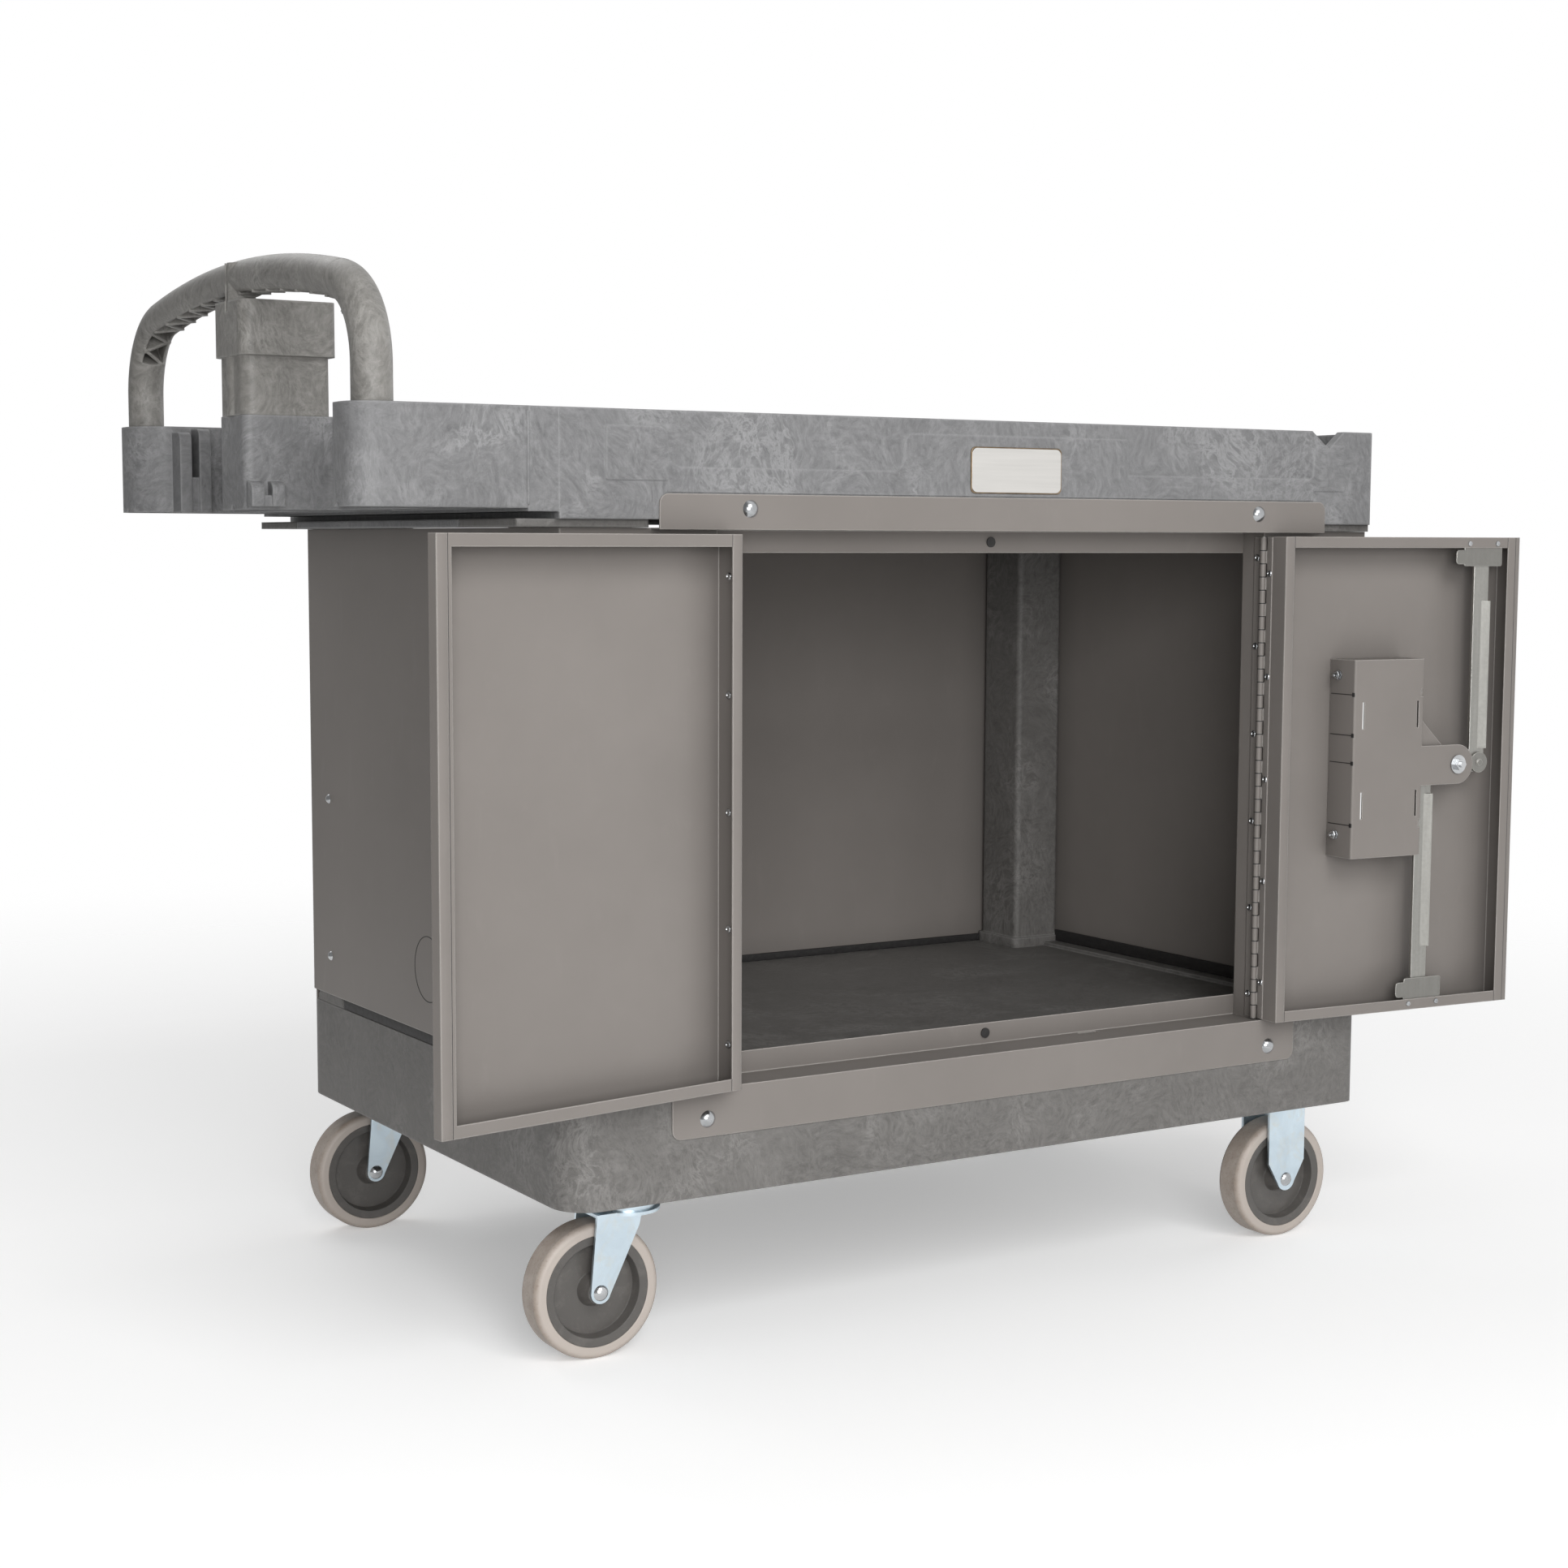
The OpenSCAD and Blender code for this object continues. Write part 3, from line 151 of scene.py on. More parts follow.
# %% Finish
class Finish(Nodes):
    """A material with one Principled shader, and helpers that add nodes in front of it."""

    def __init__(self, name, sockets=None):
        self.material = bpy.data.materials.new(name)
        self.material.use_nodes = True
        super().__init__(self.material.node_tree)
        self.shader = self.tree.nodes["Principled BSDF"]
        self.out = self.tree.nodes["Material Output"]
        for key, number in (sockets or {}).items():
            self.shader.inputs[key].default_value = number
        self.place = self.node("ShaderNodeTexCoord", out="Object")

    def feed(self, socket, item):
        """Links a value to a socket of the shader."""
        self.tree.links.new(item.socket, self.shader.inputs[socket])

    def stretch(self, scale, vector=None):
        """Coordinates multiplied by a scale per axis, so that a noise on them is drawn out."""
        return self.node("ShaderNodeMapping", None, {"Vector": vector or self.place, "Scale": scale})

    def noise(self, scale, detail=4.0, rough=0.5, twist=0.0, vector=None, out=0):
        """Cloudy noise on the Object coordinates, or on other ones that are given."""
        return self.node("ShaderNodeTexNoise", None, {
            "Vector": vector or self.place, "Scale": scale, "Detail": detail,
            "Roughness": rough, "Distortion": twist}, out)

    def ramp(self, value, *stops):
        """Piecewise straight curve through (input, output) pairs."""
        return self.node("ShaderNodeValToRGB", {"stops": stops}, {"Fac": value})

    def mix(self, mask, low, high):
        """Colour between low and high by the mask."""
        sockets = {0: mask, 6: (*low, 1.0) if isinstance(low, tuple) else low,
                   7: (*high, 1.0) if isinstance(high, tuple) else high}
        return self.node("ShaderNodeMix", {"data_type": "RGBA"}, sockets, 2)

    def bump(self, height, depth, strength=1.0, rolled=None):
        """Relief from a height, over the surface's own normals or over rolled ones."""
        sockets = {"Height": height, "Distance": depth, "Strength": strength}
        if rolled:
            sockets["Normal"] = rolled
        self.feed("Normal", self.node("ShaderNodeBump", None, sockets))

    def corners(self, radius):
        """Normals that roll over sharp corners, and a mask of where they differ from the true ones."""
        rolled = self.node("ShaderNodeBevel", {"samples": 4}, {"Radius": radius})
        true = self.node("ShaderNodeNewGeometry", out="Normal")
        same = self.node("ShaderNodeVectorMath", {"operation": "DOT_PRODUCT"}, {0: rolled, 1: true}, "Value")
        return rolled, self.ramp(1.0 - same, (0.01, 0.0), (0.20, 1.0))

    def warp(self, scale, amount, detail):
        """Object coordinates pushed about by a smooth noise, so a pattern on them swirls."""
        push = self.node("ShaderNodeVectorMath", {"operation": "SUBTRACT"}, {
            0: self.noise(scale, detail, out=1), 1: (0.5, 0.5, 0.5)})
        push = self.node("ShaderNodeVectorMath", {"operation": "SCALE"}, {0: push, "Scale": amount})
        return self.node("ShaderNodeVectorMath", {"operation": "ADD"}, {0: self.place, 1: push})


# %% [markdown]
# ## Marbled resin
# The base, tray and console are foamed resin mouldings. Gas streaks at the mould wall leave a leathery
# skin of fine strokes, a few millimetres wide, with pale threads between darker cells. A plain noise
# gives clouds and no strokes. Here the coordinates are first swirled by a slow noise and then squeezed
# in one direction, so a fine noise on them turns into short strokes that change direction over the
# surface. Pale threads are the places where another noise crosses its middle value. The Bevel node rolls
# the shading over corners, as the radii of a moulding do.

# %% Resin finishes
def marbled(name, dark, mid, light, rough, thread):
    """Strokes between dark and mid, pale threads in places, fine specks and a painted highlight on the corners.
    """
    f = Finish(name, {"IOR": 1.47, "Specular IOR Level": 0.34})
    swirl = f.warp(6.0, 0.16, 3.0)
    along = f.noise(190.0, 7.0, 0.72, 0.2, f.stretch((1.0, 1.0, 0.40), swirl))
    across = f.noise(170.0, 7.0, 0.72, 0.3, f.stretch((0.45, 0.45, 1.0), swirl))
    patch = f.ramp(f.noise(26.0, 5.0, 0.6, 1.0), (0.46, 0.0), (0.56, 1.0))
    strokes = f.ramp(along * (1.0 - patch) + across * patch, (0.34, 0.0), (0.66, 1.0))
    web = f.noise(60.0, 8.0, 0.70, 0.35, f.stretch((1.0, 1.0, 0.6), swirl))
    threads = f.ramp(web, (0.44, 0.0), (0.50, 1.0), (0.56, 0.0))
    there = f.ramp(f.noise(9.0, 4.0, 0.6, 0.8), (0.46, 0.0), (0.64, 1.0))
    clouds = f.ramp(f.noise(5.5, 5.0, 0.62, 0.6), (0.32, 0.0), (0.68, 1.0))
    speck = f.ramp(f.noise(700.0, 3.0, 0.6), (0.60, 0.0), (0.78, 1.0))
    tone = f.mix(strokes, dark, mid)
    tone = f.mix(clouds * 0.40, tone, mid)
    tone = f.mix(threads * there * thread, tone, light)
    tone = f.mix(speck * 0.30, tone, light)
    rolled, lighten_mask = f.corners(0.0034)
    # painted highlight: the corners that the Bevel node rolls are mixed towards the light colour
    f.feed("Base Color", f.mix(lighten_mask * 0.6, tone, light))
    f.feed("Roughness", rough + strokes * 0.10 - speck * 0.08 - lighten_mask * 0.08)
    f.bump(strokes * 0.7 + threads * 0.25 + speck * 0.2, 0.00030, 0.55, rolled)
    return f.material


tray_resin = marbled("tray_resin", (0.124, 0.124, 0.127), (0.240, 0.240, 0.243),
                     (0.450, 0.450, 0.455), 0.43, 0.38)
# the base's resin is the tray's resin made darker and warmer: partly dirt, partly painted shade for the lower
# light at the base
base_resin_dirt_and_shade = marbled("base_resin_dirt_and_shade", (0.098, 0.094, 0.089), (0.186, 0.179, 0.171),
                     (0.370, 0.360, 0.348), 0.45, 0.34)
grip_resin = marbled("grip_resin", (0.120, 0.115, 0.106), (0.275, 0.266, 0.250),
                     (0.480, 0.466, 0.440), 0.38, 0.38)
print("resin finishes:", tray_resin.name, base_resin_dirt_and_shade.name, grip_resin.name)

# %% [markdown]
# ## Powder coat, zinc and galvanised steel
# Powder coat is a plain satin colour with a faint orange peel, so most of its look is a fine bump. Folded
# corners get a painted highlight, and the inside corners, which the Ambient Occlusion node finds from the
# shape itself, get painted shade. Bright zinc plate is a metal with a cold tint and soft cloudy stains.
# Galvanised strip shows drawing lines and faint crystals, which a Voronoi pattern gives, each crystal
# with a slightly other gloss.

# %% Metal finishes
def powder_coat():
    """Satin coat: slow clouds, rubbed places, painted shade where the shape closes in and a painted highlight on
    folded corners.
    """
    f = Finish("powder_coat", {"IOR": 1.5, "Specular IOR Level": 0.22})
    peel = f.noise(620.0, 2.0, 0.45)
    cloud = f.ramp(f.noise(4.0, 4.0, 0.6), (0.35, 0.0), (0.68, 1.0))
    rub = f.ramp(f.noise(38.0, 6.0, 0.7, 0.4, f.stretch((1.0, 1.0, 0.35))), (0.58, 0.0), (0.78, 1.0))
    tone = f.mix(cloud, (0.212, 0.194, 0.180), (0.236, 0.216, 0.201))
    tone = f.mix(rub * 0.22, tone, (0.275, 0.254, 0.237))
    open_to_air = f.node("ShaderNodeAmbientOcclusion", {"samples": 8}, {"Distance": 0.050}, "AO")
    # painted shade: the colour darkens where the Ambient Occlusion node finds the shape closing in
    painted_recess_shade = f.ramp(open_to_air, (0.30, 1.0), (0.90, 0.0))
    tone = f.mix(painted_recess_shade * 0.50, tone, (0.090, 0.082, 0.076))
    rolled, lighten_mask = f.corners(0.0018)
    # painted highlight: folded corners are mixed towards a pale colour
    f.feed("Base Color", f.mix(lighten_mask * 0.90, tone, (0.560, 0.530, 0.500)))
    f.feed("Roughness", 0.36 + cloud * 0.05 - rub * 0.05)
    f.bump(peel, 0.00006, 0.5, rolled)
    return f.material


def zinc_plate(name, tint, shade, rough, stain=0.0):
    """Bright plated steel with soft clouds, brushing lines and warm stains."""
    f = Finish(name, {"Metallic": 1.0})
    cloud = f.ramp(f.noise(24.0, 5.0, 0.6, 0.8), (0.36, 0.0), (0.66, 1.0))
    brushed = f.noise(240.0, 4.0, 0.6, 0.0, f.stretch((1.0, 1.0, 0.12)))
    warm = f.ramp(f.noise(34.0, 4.0, 0.6, 1.2), (0.52, 0.0), (0.70, 1.0))
    tone = f.mix(cloud, shade, tint)
    f.feed("Base Color", f.mix(warm * stain, tone, (0.66, 0.64, 0.56)))
    f.feed("Roughness", rough + brushed * 0.16 - cloud * 0.06)
    f.bump(brushed, 0.00004, 0.5)
    return f.material


def galvanised(name, dark, light):
    """Drawn strip: long lines over faint crystals, with a painted highlight on bent edges."""
    f = Finish(name, {"Metallic": 1.0})
    crystals = f.node("ShaderNodeTexVoronoi", {"feature": "F1"}, {"Vector": f.place, "Scale": 420.0}, 1)
    level = f.node("ShaderNodeSeparateColor", None, {0: crystals}, 0)
    drawn = f.noise(260.0, 4.0, 0.6, 0.0, f.stretch((1.0, 1.0, 0.05)))
    stain = f.ramp(f.noise(18.0, 5.0, 0.65), (0.42, 0.0), (0.70, 1.0))
    tone = f.mix(level * 0.20 + drawn * 0.80, dark, light)
    tone = f.mix(stain * 0.25, tone, dark)
    rolled, lighten_mask = f.corners(0.0014)
    # painted highlight: bent edges are mixed towards a pale colour
    f.feed("Base Color", f.mix(lighten_mask * 0.8, tone, (0.66, 0.65, 0.61)))
    f.feed("Roughness", 0.34 + level * 0.06 + drawn * 0.10)
    f.bump(drawn, 0.00003, 0.4, rolled)
    return f.material


paint = powder_coat()
fork_zinc = zinc_plate("fork_zinc", (0.68, 0.79, 0.86), (0.58, 0.68, 0.75), 0.26, 0.4)
bolt_zinc = zinc_plate("bolt_zinc", (0.58, 0.59, 0.60), (0.38, 0.39, 0.40), 0.16)
rod_steel = galvanised("rod_steel", (0.270, 0.266, 0.248), (0.400, 0.394, 0.370))
guide_steel = galvanised("guide_steel", (0.205, 0.200, 0.186), (0.285, 0.280, 0.262))
print("metal finishes:", paint.name, fork_zinc.name, bolt_zinc.name, rod_steel.name, guide_steel.name)

# %% [markdown]
# ## Tyres, wheel cores, plate and rubber
# Grey non-marking tyres pick up brown dust at the edges of the tread. The distance from the wheel's axle,
# read from Object coordinates, says where that edge is, so the dirt needs no painted map. The cores are
# scuffed dark plastic, the name plate is brushed steel and the bumpers and seals are soft rubber.

# %% Wheel finishes
wheel_r = (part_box("tyre_rigid_front")[1].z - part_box("tyre_rigid_front")[0].z) / 2


def axle_of(node):
    """Middle of a wheel's box, which lies on its axle."""
    low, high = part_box(node)
    return ((low.x + high.x) / 2, (low.y + high.y) / 2, (low.z + high.z) / 2)


def rim_distance(f, centre):
    """Distance of a point from the wheel's axle, sqrt(dx^2 + dz^2), as a value."""
    moved = f.node("ShaderNodeVectorMath", {"operation": "SUBTRACT"}, {0: f.place, 1: centre})
    flat = f.node("ShaderNodeVectorMath", {"operation": "MULTIPLY"}, {0: moved, 1: (1.0, 0.0, 1.0)})
    return f.node("ShaderNodeVectorMath", {"operation": "LENGTH"}, {0: flat}, "Value")


def tyre_rubber(node):
    """Grey rubber, dirty and specked towards its outer edge."""
    f = Finish("tyre_rubber_" + node)
    away = rim_distance(f, axle_of(node))
    edge = f.ramp(away * (1.0 / wheel_r), (0.930, 0.0), (0.985, 1.0))
    patch = f.ramp(f.noise(42.0, 6.0, 0.7), (0.34, 0.25), (0.66, 1.0))
    speck = f.ramp(f.noise(420.0, 3.0, 0.6), (0.55, 0.0), (0.75, 1.0))
    tone = f.mix(f.noise(16.0, 3.0), (0.425, 0.376, 0.338), (0.495, 0.440, 0.398))
    tone = f.mix(edge * patch * 0.60, tone, (0.235, 0.175, 0.128))
    f.feed("Base Color", f.mix(speck * edge * 0.35, tone, (0.12, 0.09, 0.07)))
    f.feed("Roughness", 0.50 + speck * 0.15)
    f.bump(speck * edge * 0.6 + f.noise(90.0, 2.0) * 0.15, 0.00020, 0.5)
    return f.material


def core_plastic():
    """Dark moulded plastic with scuffs and pale specks."""
    f = Finish("wheel_core_plastic")
    scuff = f.ramp(f.noise(60.0, 7.0, 0.7, 0.5), (0.50, 0.0), (0.74, 1.0))
    speck = f.ramp(f.noise(520.0, 3.0, 0.6), (0.64, 0.0), (0.76, 1.0))
    tone = f.mix(scuff * 0.6, (0.092, 0.086, 0.080), (0.150, 0.139, 0.129))
    f.feed("Base Color", f.mix(speck * 0.4, tone, (0.20, 0.18, 0.16)))
    f.feed("Roughness", 0.34 + scuff * 0.16)
    f.bump(f.noise(700.0, 2.0), 0.0001, 0.5, f.corners(0.0012)[0])
    return f.material


def brushed_plate():
    """Bright plate with brushing lines along its length."""
    f = Finish("brushed_plate", {"Metallic": 1.0})
    lines = f.noise(300.0, 5.0, 0.6, 0.0, f.stretch((0.03, 1.0, 1.0)))
    f.feed("Base Color", f.mix(lines, (0.56, 0.547, 0.526), (0.70, 0.685, 0.660)))
    f.feed("Roughness", 0.38 + lines * 0.16)
    f.bump(lines, 0.00004, 0.5, f.corners(0.0008)[0])
    return f.material


def soft_rubber():
    """Black rubber with a faint grey bloom."""
    f = Finish("soft_rubber")
    bloom = f.ramp(f.noise(220.0, 4.0, 0.6), (0.45, 0.0), (0.75, 1.0))
    f.feed("Base Color", f.mix(bloom * 0.5, (0.016, 0.015, 0.015), (0.055, 0.052, 0.050)))
    f.feed("Roughness", 0.55 + bloom * 0.2)
    f.bump(bloom, 0.0001, 0.5)
    return f.material


core_finish = core_plastic()
plate_finish = brushed_plate()
rubber = soft_rubber()
print("wheel radius", round(wheel_r, 4), "m, finishes:", core_finish.name, plate_finish.name, rubber.name)

# %% [markdown]
# ## Dressing the frame's own pieces
# Every solid that came with the frame keeps its shape and gets one of the finishes. A list of name
# beginnings and finishes is enough, because the names say what the pieces are. Only the tyres each get
# a finish of their own, because the dirt on one is measured from its own axle.

# %% Assign finishes
finish_of = [
    ("base_deck", base_resin_dirt_and_shade), ("post_", base_resin_dirt_and_shade), ("upper_tray", tray_resin),
    ("handle_console", tray_resin),
    ("push_handle", grip_resin),
    ("side_panel_", paint), ("back_panel", paint), ("head_frame", paint), ("sill_frame", paint),
    ("stile_", paint), ("left_door_pan", paint), ("right_door_pan", paint), ("latch_box", paint),
    ("frame_leaf_", paint), ("left_door_leaf", paint), ("right_door_leaf", paint),
    ("hinge_pin_", rod_steel), ("rod_guide_", guide_steel), ("lock_rod_", rod_steel),
    ("latch_cam", guide_steel), ("latch_lever", bolt_zinc),
    ("latch_nut", bolt_zinc), ("flange_bolts", bolt_zinc), ("panel_screws", bolt_zinc), ("axle_", bolt_zinc),
    ("swivel_", fork_zinc), ("rigid_", fork_zinc), ("core_", core_finish), ("name_plate", plate_finish),
    ("door_bumpers", rubber),
]


def dress(piece, material):
    """Gives a piece one material."""
    piece.data.materials.clear()
    piece.data.materials.append(material)


for name, piece in nodes.items():
    if name.startswith("tyre_"):
        dress(piece, tyre_rubber(name))
        continue
    chosen = [m for start, m in finish_of if name.startswith(start)]
    dress(piece, chosen[0])
print("dressed", len(nodes), "pieces")

# %% [markdown]
# ## Surfaces from grids of points
# Every small piece below is a grid of points turned into a mesh. One function makes the faces, and it
# takes a stack of equal grids too, so a whole row of rivets is one call. Corners sharper than 35 degrees
# stay crisp and the rest is shaded smooth.

# %% Grid surfaces
def surface(name, grid, close_rows=False, close_columns=False, cap_start=False, cap_end=False):
    """Mesh from one grid of points or a stack of them; rows and columns may close, end rows may be capped."""
    grid = np.asarray(grid, float)
    stack = grid[None] if grid.ndim == 3 else grid
    count, rows, columns = stack.shape[:3]
    index = np.arange(count * rows * columns).reshape(count, rows, columns)
    a = index if close_rows else index[:, :-1]
    b = np.roll(index, -1, 1) if close_rows else index[:, 1:]
    if close_columns:
        right_a, right_b = np.roll(a, -1, 2), np.roll(b, -1, 2)
    else:
        a, right_a, b, right_b = a[:, :, :-1], a[:, :, 1:], b[:, :, :-1], b[:, :, 1:]
    faces = np.stack([a, right_a, right_b, b], axis=-1).reshape(-1, 4).tolist()
    if cap_start:
        faces += index[:, 0, ::-1].tolist()
    if cap_end:
        faces += index[:, -1].tolist()
    mesh = bpy.data.meshes.new(name)
    mesh.from_pydata(stack.reshape(-1, 3).tolist(), [], faces)
    mesh.shade_smooth()
    mesh.set_sharp_from_angle(angle=math.radians(35.0))
    piece = bpy.data.objects.new(name, mesh)
    bpy.context.scene.collection.objects.link(piece)
    return piece


def fit(piece, finish, body):
    """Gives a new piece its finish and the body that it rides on."""
    dress(piece, finish)
    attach(piece, body)
    print(piece.name, "on", body, "with", len(piece.data.polygons), "faces")


mm = 0.001

# %% [markdown]
# ## Where the doors' details go
# Both doors stand open, so their details are easiest to place in each door's own coordinates: x from the
# hinge pin to the free edge, y into the cabinet when the door is shut, and z up. A turn and a shift take
# them to the cart. The right door is the mirror image of the left one.

# %% Door coordinates
left_open, right_open = 171.0, 176.0


def door_axes(turn, side):
    """Directions of the door's x, y and z: (cos, sin) of the turn and its perpendicular."""
    angle = math.radians(turn)
    along = side * np.array((math.cos(angle), math.sin(angle), 0.0))
    inward = np.array((-math.sin(angle), math.cos(angle), 0.0))
    return np.array((along, inward, (0.0, 0.0, 1.0)))


def pin_place(node):
    """Foot of a hinge pin's axis."""
    low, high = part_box(node)
    return np.array(((low.x + high.x) / 2, (low.y + high.y) / 2, 0.0))


left_door = (pin_place("hinge_pin_left"), door_axes(-left_open, 1.0))
right_door = (pin_place("hinge_pin_right"), door_axes(right_open, -1.0))
cart = (np.zeros(3), np.eye(3))


def placed(points, frame_of):
    """Millimetres in a door's or the cart's own coordinates to metres in the shared frame."""
    origin, axes = frame_of
    return origin + mm * np.asarray(points, float) @ axes


print("pins at", left_door[0].round(4), right_door[0].round(4))

# %% [markdown]
# ## Rivets, screws and studs
# The leaves of the piano hinges are screwed to the cabinet and riveted to the doors, pop rivets hold the
# rod guides, and two studs with nuts hold the latch box's cover. Each is a profile turned round its own
# axis: a rivet with its small dimple, a nut with six sides on a washer, and the end of a stud, which is
# plain because its thread is too fine to show. The shade in the gaps between the knuckles of a hinge is
# painted as dark rings round its barrel, made by the same function.

# %% Turned fasteners
def turned(profile, places, out, turns=14):
    """Surfaces of revolution: place + r cos(t) u + r sin(t) v + h out, for each (r, h) of the profile."""
    profile = mm * np.array(profile, float)
    out = np.array(out, float) / np.linalg.norm(out)
    helper = (0.0, 0.0, 1.0) if abs(out[2]) < 0.9 else (1.0, 0.0, 0.0)
    u = np.cross(out, helper)
    u /= np.linalg.norm(u)
    v = np.cross(out, u)
    t = np.linspace(0.0, 2 * np.pi, turns, endpoint=False)
    ring = np.cos(t)[:, None] * u + np.sin(t)[:, None] * v
    lathe = profile[:, 0, None, None] * ring + profile[:, 1, None, None] * out
    return np.atleast_2d(places)[:, None, None, :] + lathe[None]


def fasteners(name, profile, points, out, frame_of, body, finish, turns=14):
    """One piece of equal turned parts at the points, each with its axis along out."""
    grid = turned(profile, placed(points, frame_of), np.array(out, float) @ frame_of[1], turns)
    fit(surface(name, grid, close_columns=True, cap_start=True, cap_end=True), finish, body)


def column(x, y, heights):
    """Points one above the other."""
    return np.stack([np.full(len(heights), x), np.full(len(heights), y), heights], axis=-1)


# %% Screws and rivets
leaf_rivet = [(3.7, -0.3), (3.7, 0.25), (3.2, 1.0), (2.4, 1.4), (1.8, 1.35), (1.3, 0.7), (0.3, 0.6)]
guide_rivet = [(2.9, -0.3), (2.9, 0.3), (2.5, 0.9), (1.6, 1.2), (1.2, 1.15), (1.0, 0.7), (0.3, 0.65)]
screw_low, screw_pitch, rivet_low, rivet_pitch = 274.4, 91.05, 289.0, 106.2
screw_heights = screw_low + screw_pitch * np.arange(6)
rivet_heights = rivet_low + rivet_pitch * np.arange(5)
leaf_t, screw_y = 1.0, -296.1
rivet_right, rivet_left = (2.2, 7.9), (4.4, 15.5)
leaf_right_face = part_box("frame_leaf_right")[1].x / mm - leaf_t
leaf_left_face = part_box("frame_leaf_left")[0].x / mm + leaf_t
hinge_rows = [
    ("hinge_screws_right", column(leaf_right_face, screw_y, screw_heights), -1, cart, "cart"),
    ("hinge_screws_left", column(leaf_left_face, screw_y, screw_heights), 1, cart, "cart"),
    ("hinge_rivets_right", column(*rivet_right, rivet_heights), -1, right_door, "right_door"),
    ("hinge_rivets_left", column(*rivet_left, rivet_heights), 1, left_door, "left_door"),
]
for name, points, way, frame_of, body in hinge_rows:
    fasteners(name, leaf_rivet, points, (way, 0, 0), frame_of, body, bolt_zinc)
door_t = 33.0
guide_top, guide_low = 744.8, 256.4
guide_points = [(247.5, door_t, guide_top), (286.0, door_t, guide_top),
                (180.3, door_t, guide_low), (218.4, door_t, guide_low)]
fasteners("guide_rivets", guide_rivet, guide_points, (0, 1, 0), right_door, "right_door", bolt_zinc)

# %% Painted shade in the gaps of the hinge barrels
# painted shade: dark rubber rings stand for the shade in the gaps between knuckles
gap_shade_ring = [(2.7, -0.6), (3.28, -0.6), (3.33, 0.0), (3.28, 0.6), (2.7, 0.6)]
barrel_low, barrel_high, knuckles = 250.8, 750.6, 37
joints = np.linspace(barrel_low, barrel_high, knuckles + 1)[1:-1]
for side, door in (("left", left_door), ("right", right_door)):
    fasteners("barrel_gap_shade_" + side, gap_shade_ring, column(0.0, 0.0, joints), (0, 0, 1), (door[0], np.eye(3)),
              "cart", rubber)

# %% Studs of the latch box
box_side, box_front, stud_y = 90.2, 41.0, 15.0
stud_points = [(box_side, stud_y, 608.0), (box_side, stud_y, 440.5)]
washer = [(5.2, -0.2), (5.2, 0.9), (3.0, 1.0), (2.0, 1.0)]
nut = [(4.3, 0.9), (4.6, 1.3), (4.6, 3.6), (4.2, 4.1), (2.4, 4.1)]
stud_end = [(2.0, -0.2), (2.0, 7.2), (1.5, 7.8), (0.5, 8.0)]
for name, profile, turns in (("stud_washers", washer, 18), ("stud_nuts", nut, 6), ("stud_threads", stud_end, 10)):
    fasteners(name, profile, stud_points, (-1, 0, 0), right_door, "right_door", bolt_zinc, turns=turns)

# %% [markdown]
# ## Hems, seams and seals
# A folded door shows where its side returns lap over the top and bottom ones, as a low step; the shade
# beside the step is painted as a dark line. The step stays lower than the gap to the rubber bumpers, or it
# would press into them when the door is shut. The latch box is folded from one sheet with tabs, which leave fine
# seams on its side.
# Foam strips close the slits under the cabinet's panels. All are straight bars with rounded corners, so
# one function that carries a rounded rectangle along an axis makes them.

# %% Bars
def rounded_outline(width, height, radius, steps=4):
    """Rectangle with quarter-circle corners, anticlockwise, as (a, b) pairs round its middle."""
    quarter = np.arange(4)[:, None]
    angle = np.radians(90.0 * quarter + np.linspace(0.0, 90.0, steps)[None])
    corner = np.radians(90.0 * quarter + 45.0)
    a = (width / 2 - radius) * np.sign(np.cos(corner)) + radius * np.cos(angle)
    b = (height / 2 - radius) * np.sign(np.sin(corner)) + radius * np.sin(angle)
    return np.stack([a.ravel(), b.ravel()], axis=-1)


def bars(name, boxes, along, radius, frame_of, body, finish):
    """Bars between pairs of corners, in millimetres: a rounded rectangle carried along one axis."""
    grids = []
    first, second = (along + 1) % 3, (along + 2) % 3
    for low, high in np.asarray(boxes, float):
        size, middle = high - low, (high + low) / 2
        outline = rounded_outline(size[first], size[second], radius)
        grid = np.empty((2, len(outline), 3))
        grid[..., first] = middle[first] + outline[:, 0]
        grid[..., second] = middle[second] + outline[:, 1]
        grid[..., along] = np.array((low[along], high[along]))[:, None]
        grids.append(grid)
    stack = placed(np.stack(grids), frame_of)
    if np.linalg.det(frame_of[1]) < 0:  # a mirrored frame would turn the faces inside out
        stack = stack[:, :, ::-1]
    fit(surface(name, stack, close_columns=True, cap_start=True, cap_end=True), finish, body)

# %% Hems and laps of the doors
door_low, door_high, return_w, hem = 250.0, 751.4, 11.2, 0.14
left_skin, right_skin = (3.2, 314.4, 325.7), (3.2, 300.4, 315.8)
lip_x, line_half = 311.4, 0.3


def hems(door, name, body, skin):
    """The two vertical returns, a little prouder than the pan, one at each end of the door."""
    ends = ((skin[0], skin[0] + return_w), (skin[1], skin[2]))
    bars("hems_" + name, [((a, door_t - 0.5, door_low), (b, door_t + hem, door_high)) for a, b in ends],
         2, 0.06, door, body, paint)


def lap_shade_lines(door, name, body, lines):
    """Painted shade lines beside the laps: each has its x and the heights between which it runs."""
    # painted shade: dark bars stand for the shade beside each lap step
    boxes = [((x - line_half, door_t - 0.3, low), (x + line_half, door_t + hem + 0.02, high))
             for x, low, high in lines]
    bars("lap_shade_" + name, boxes, 2, 0.05, door, body, rubber)


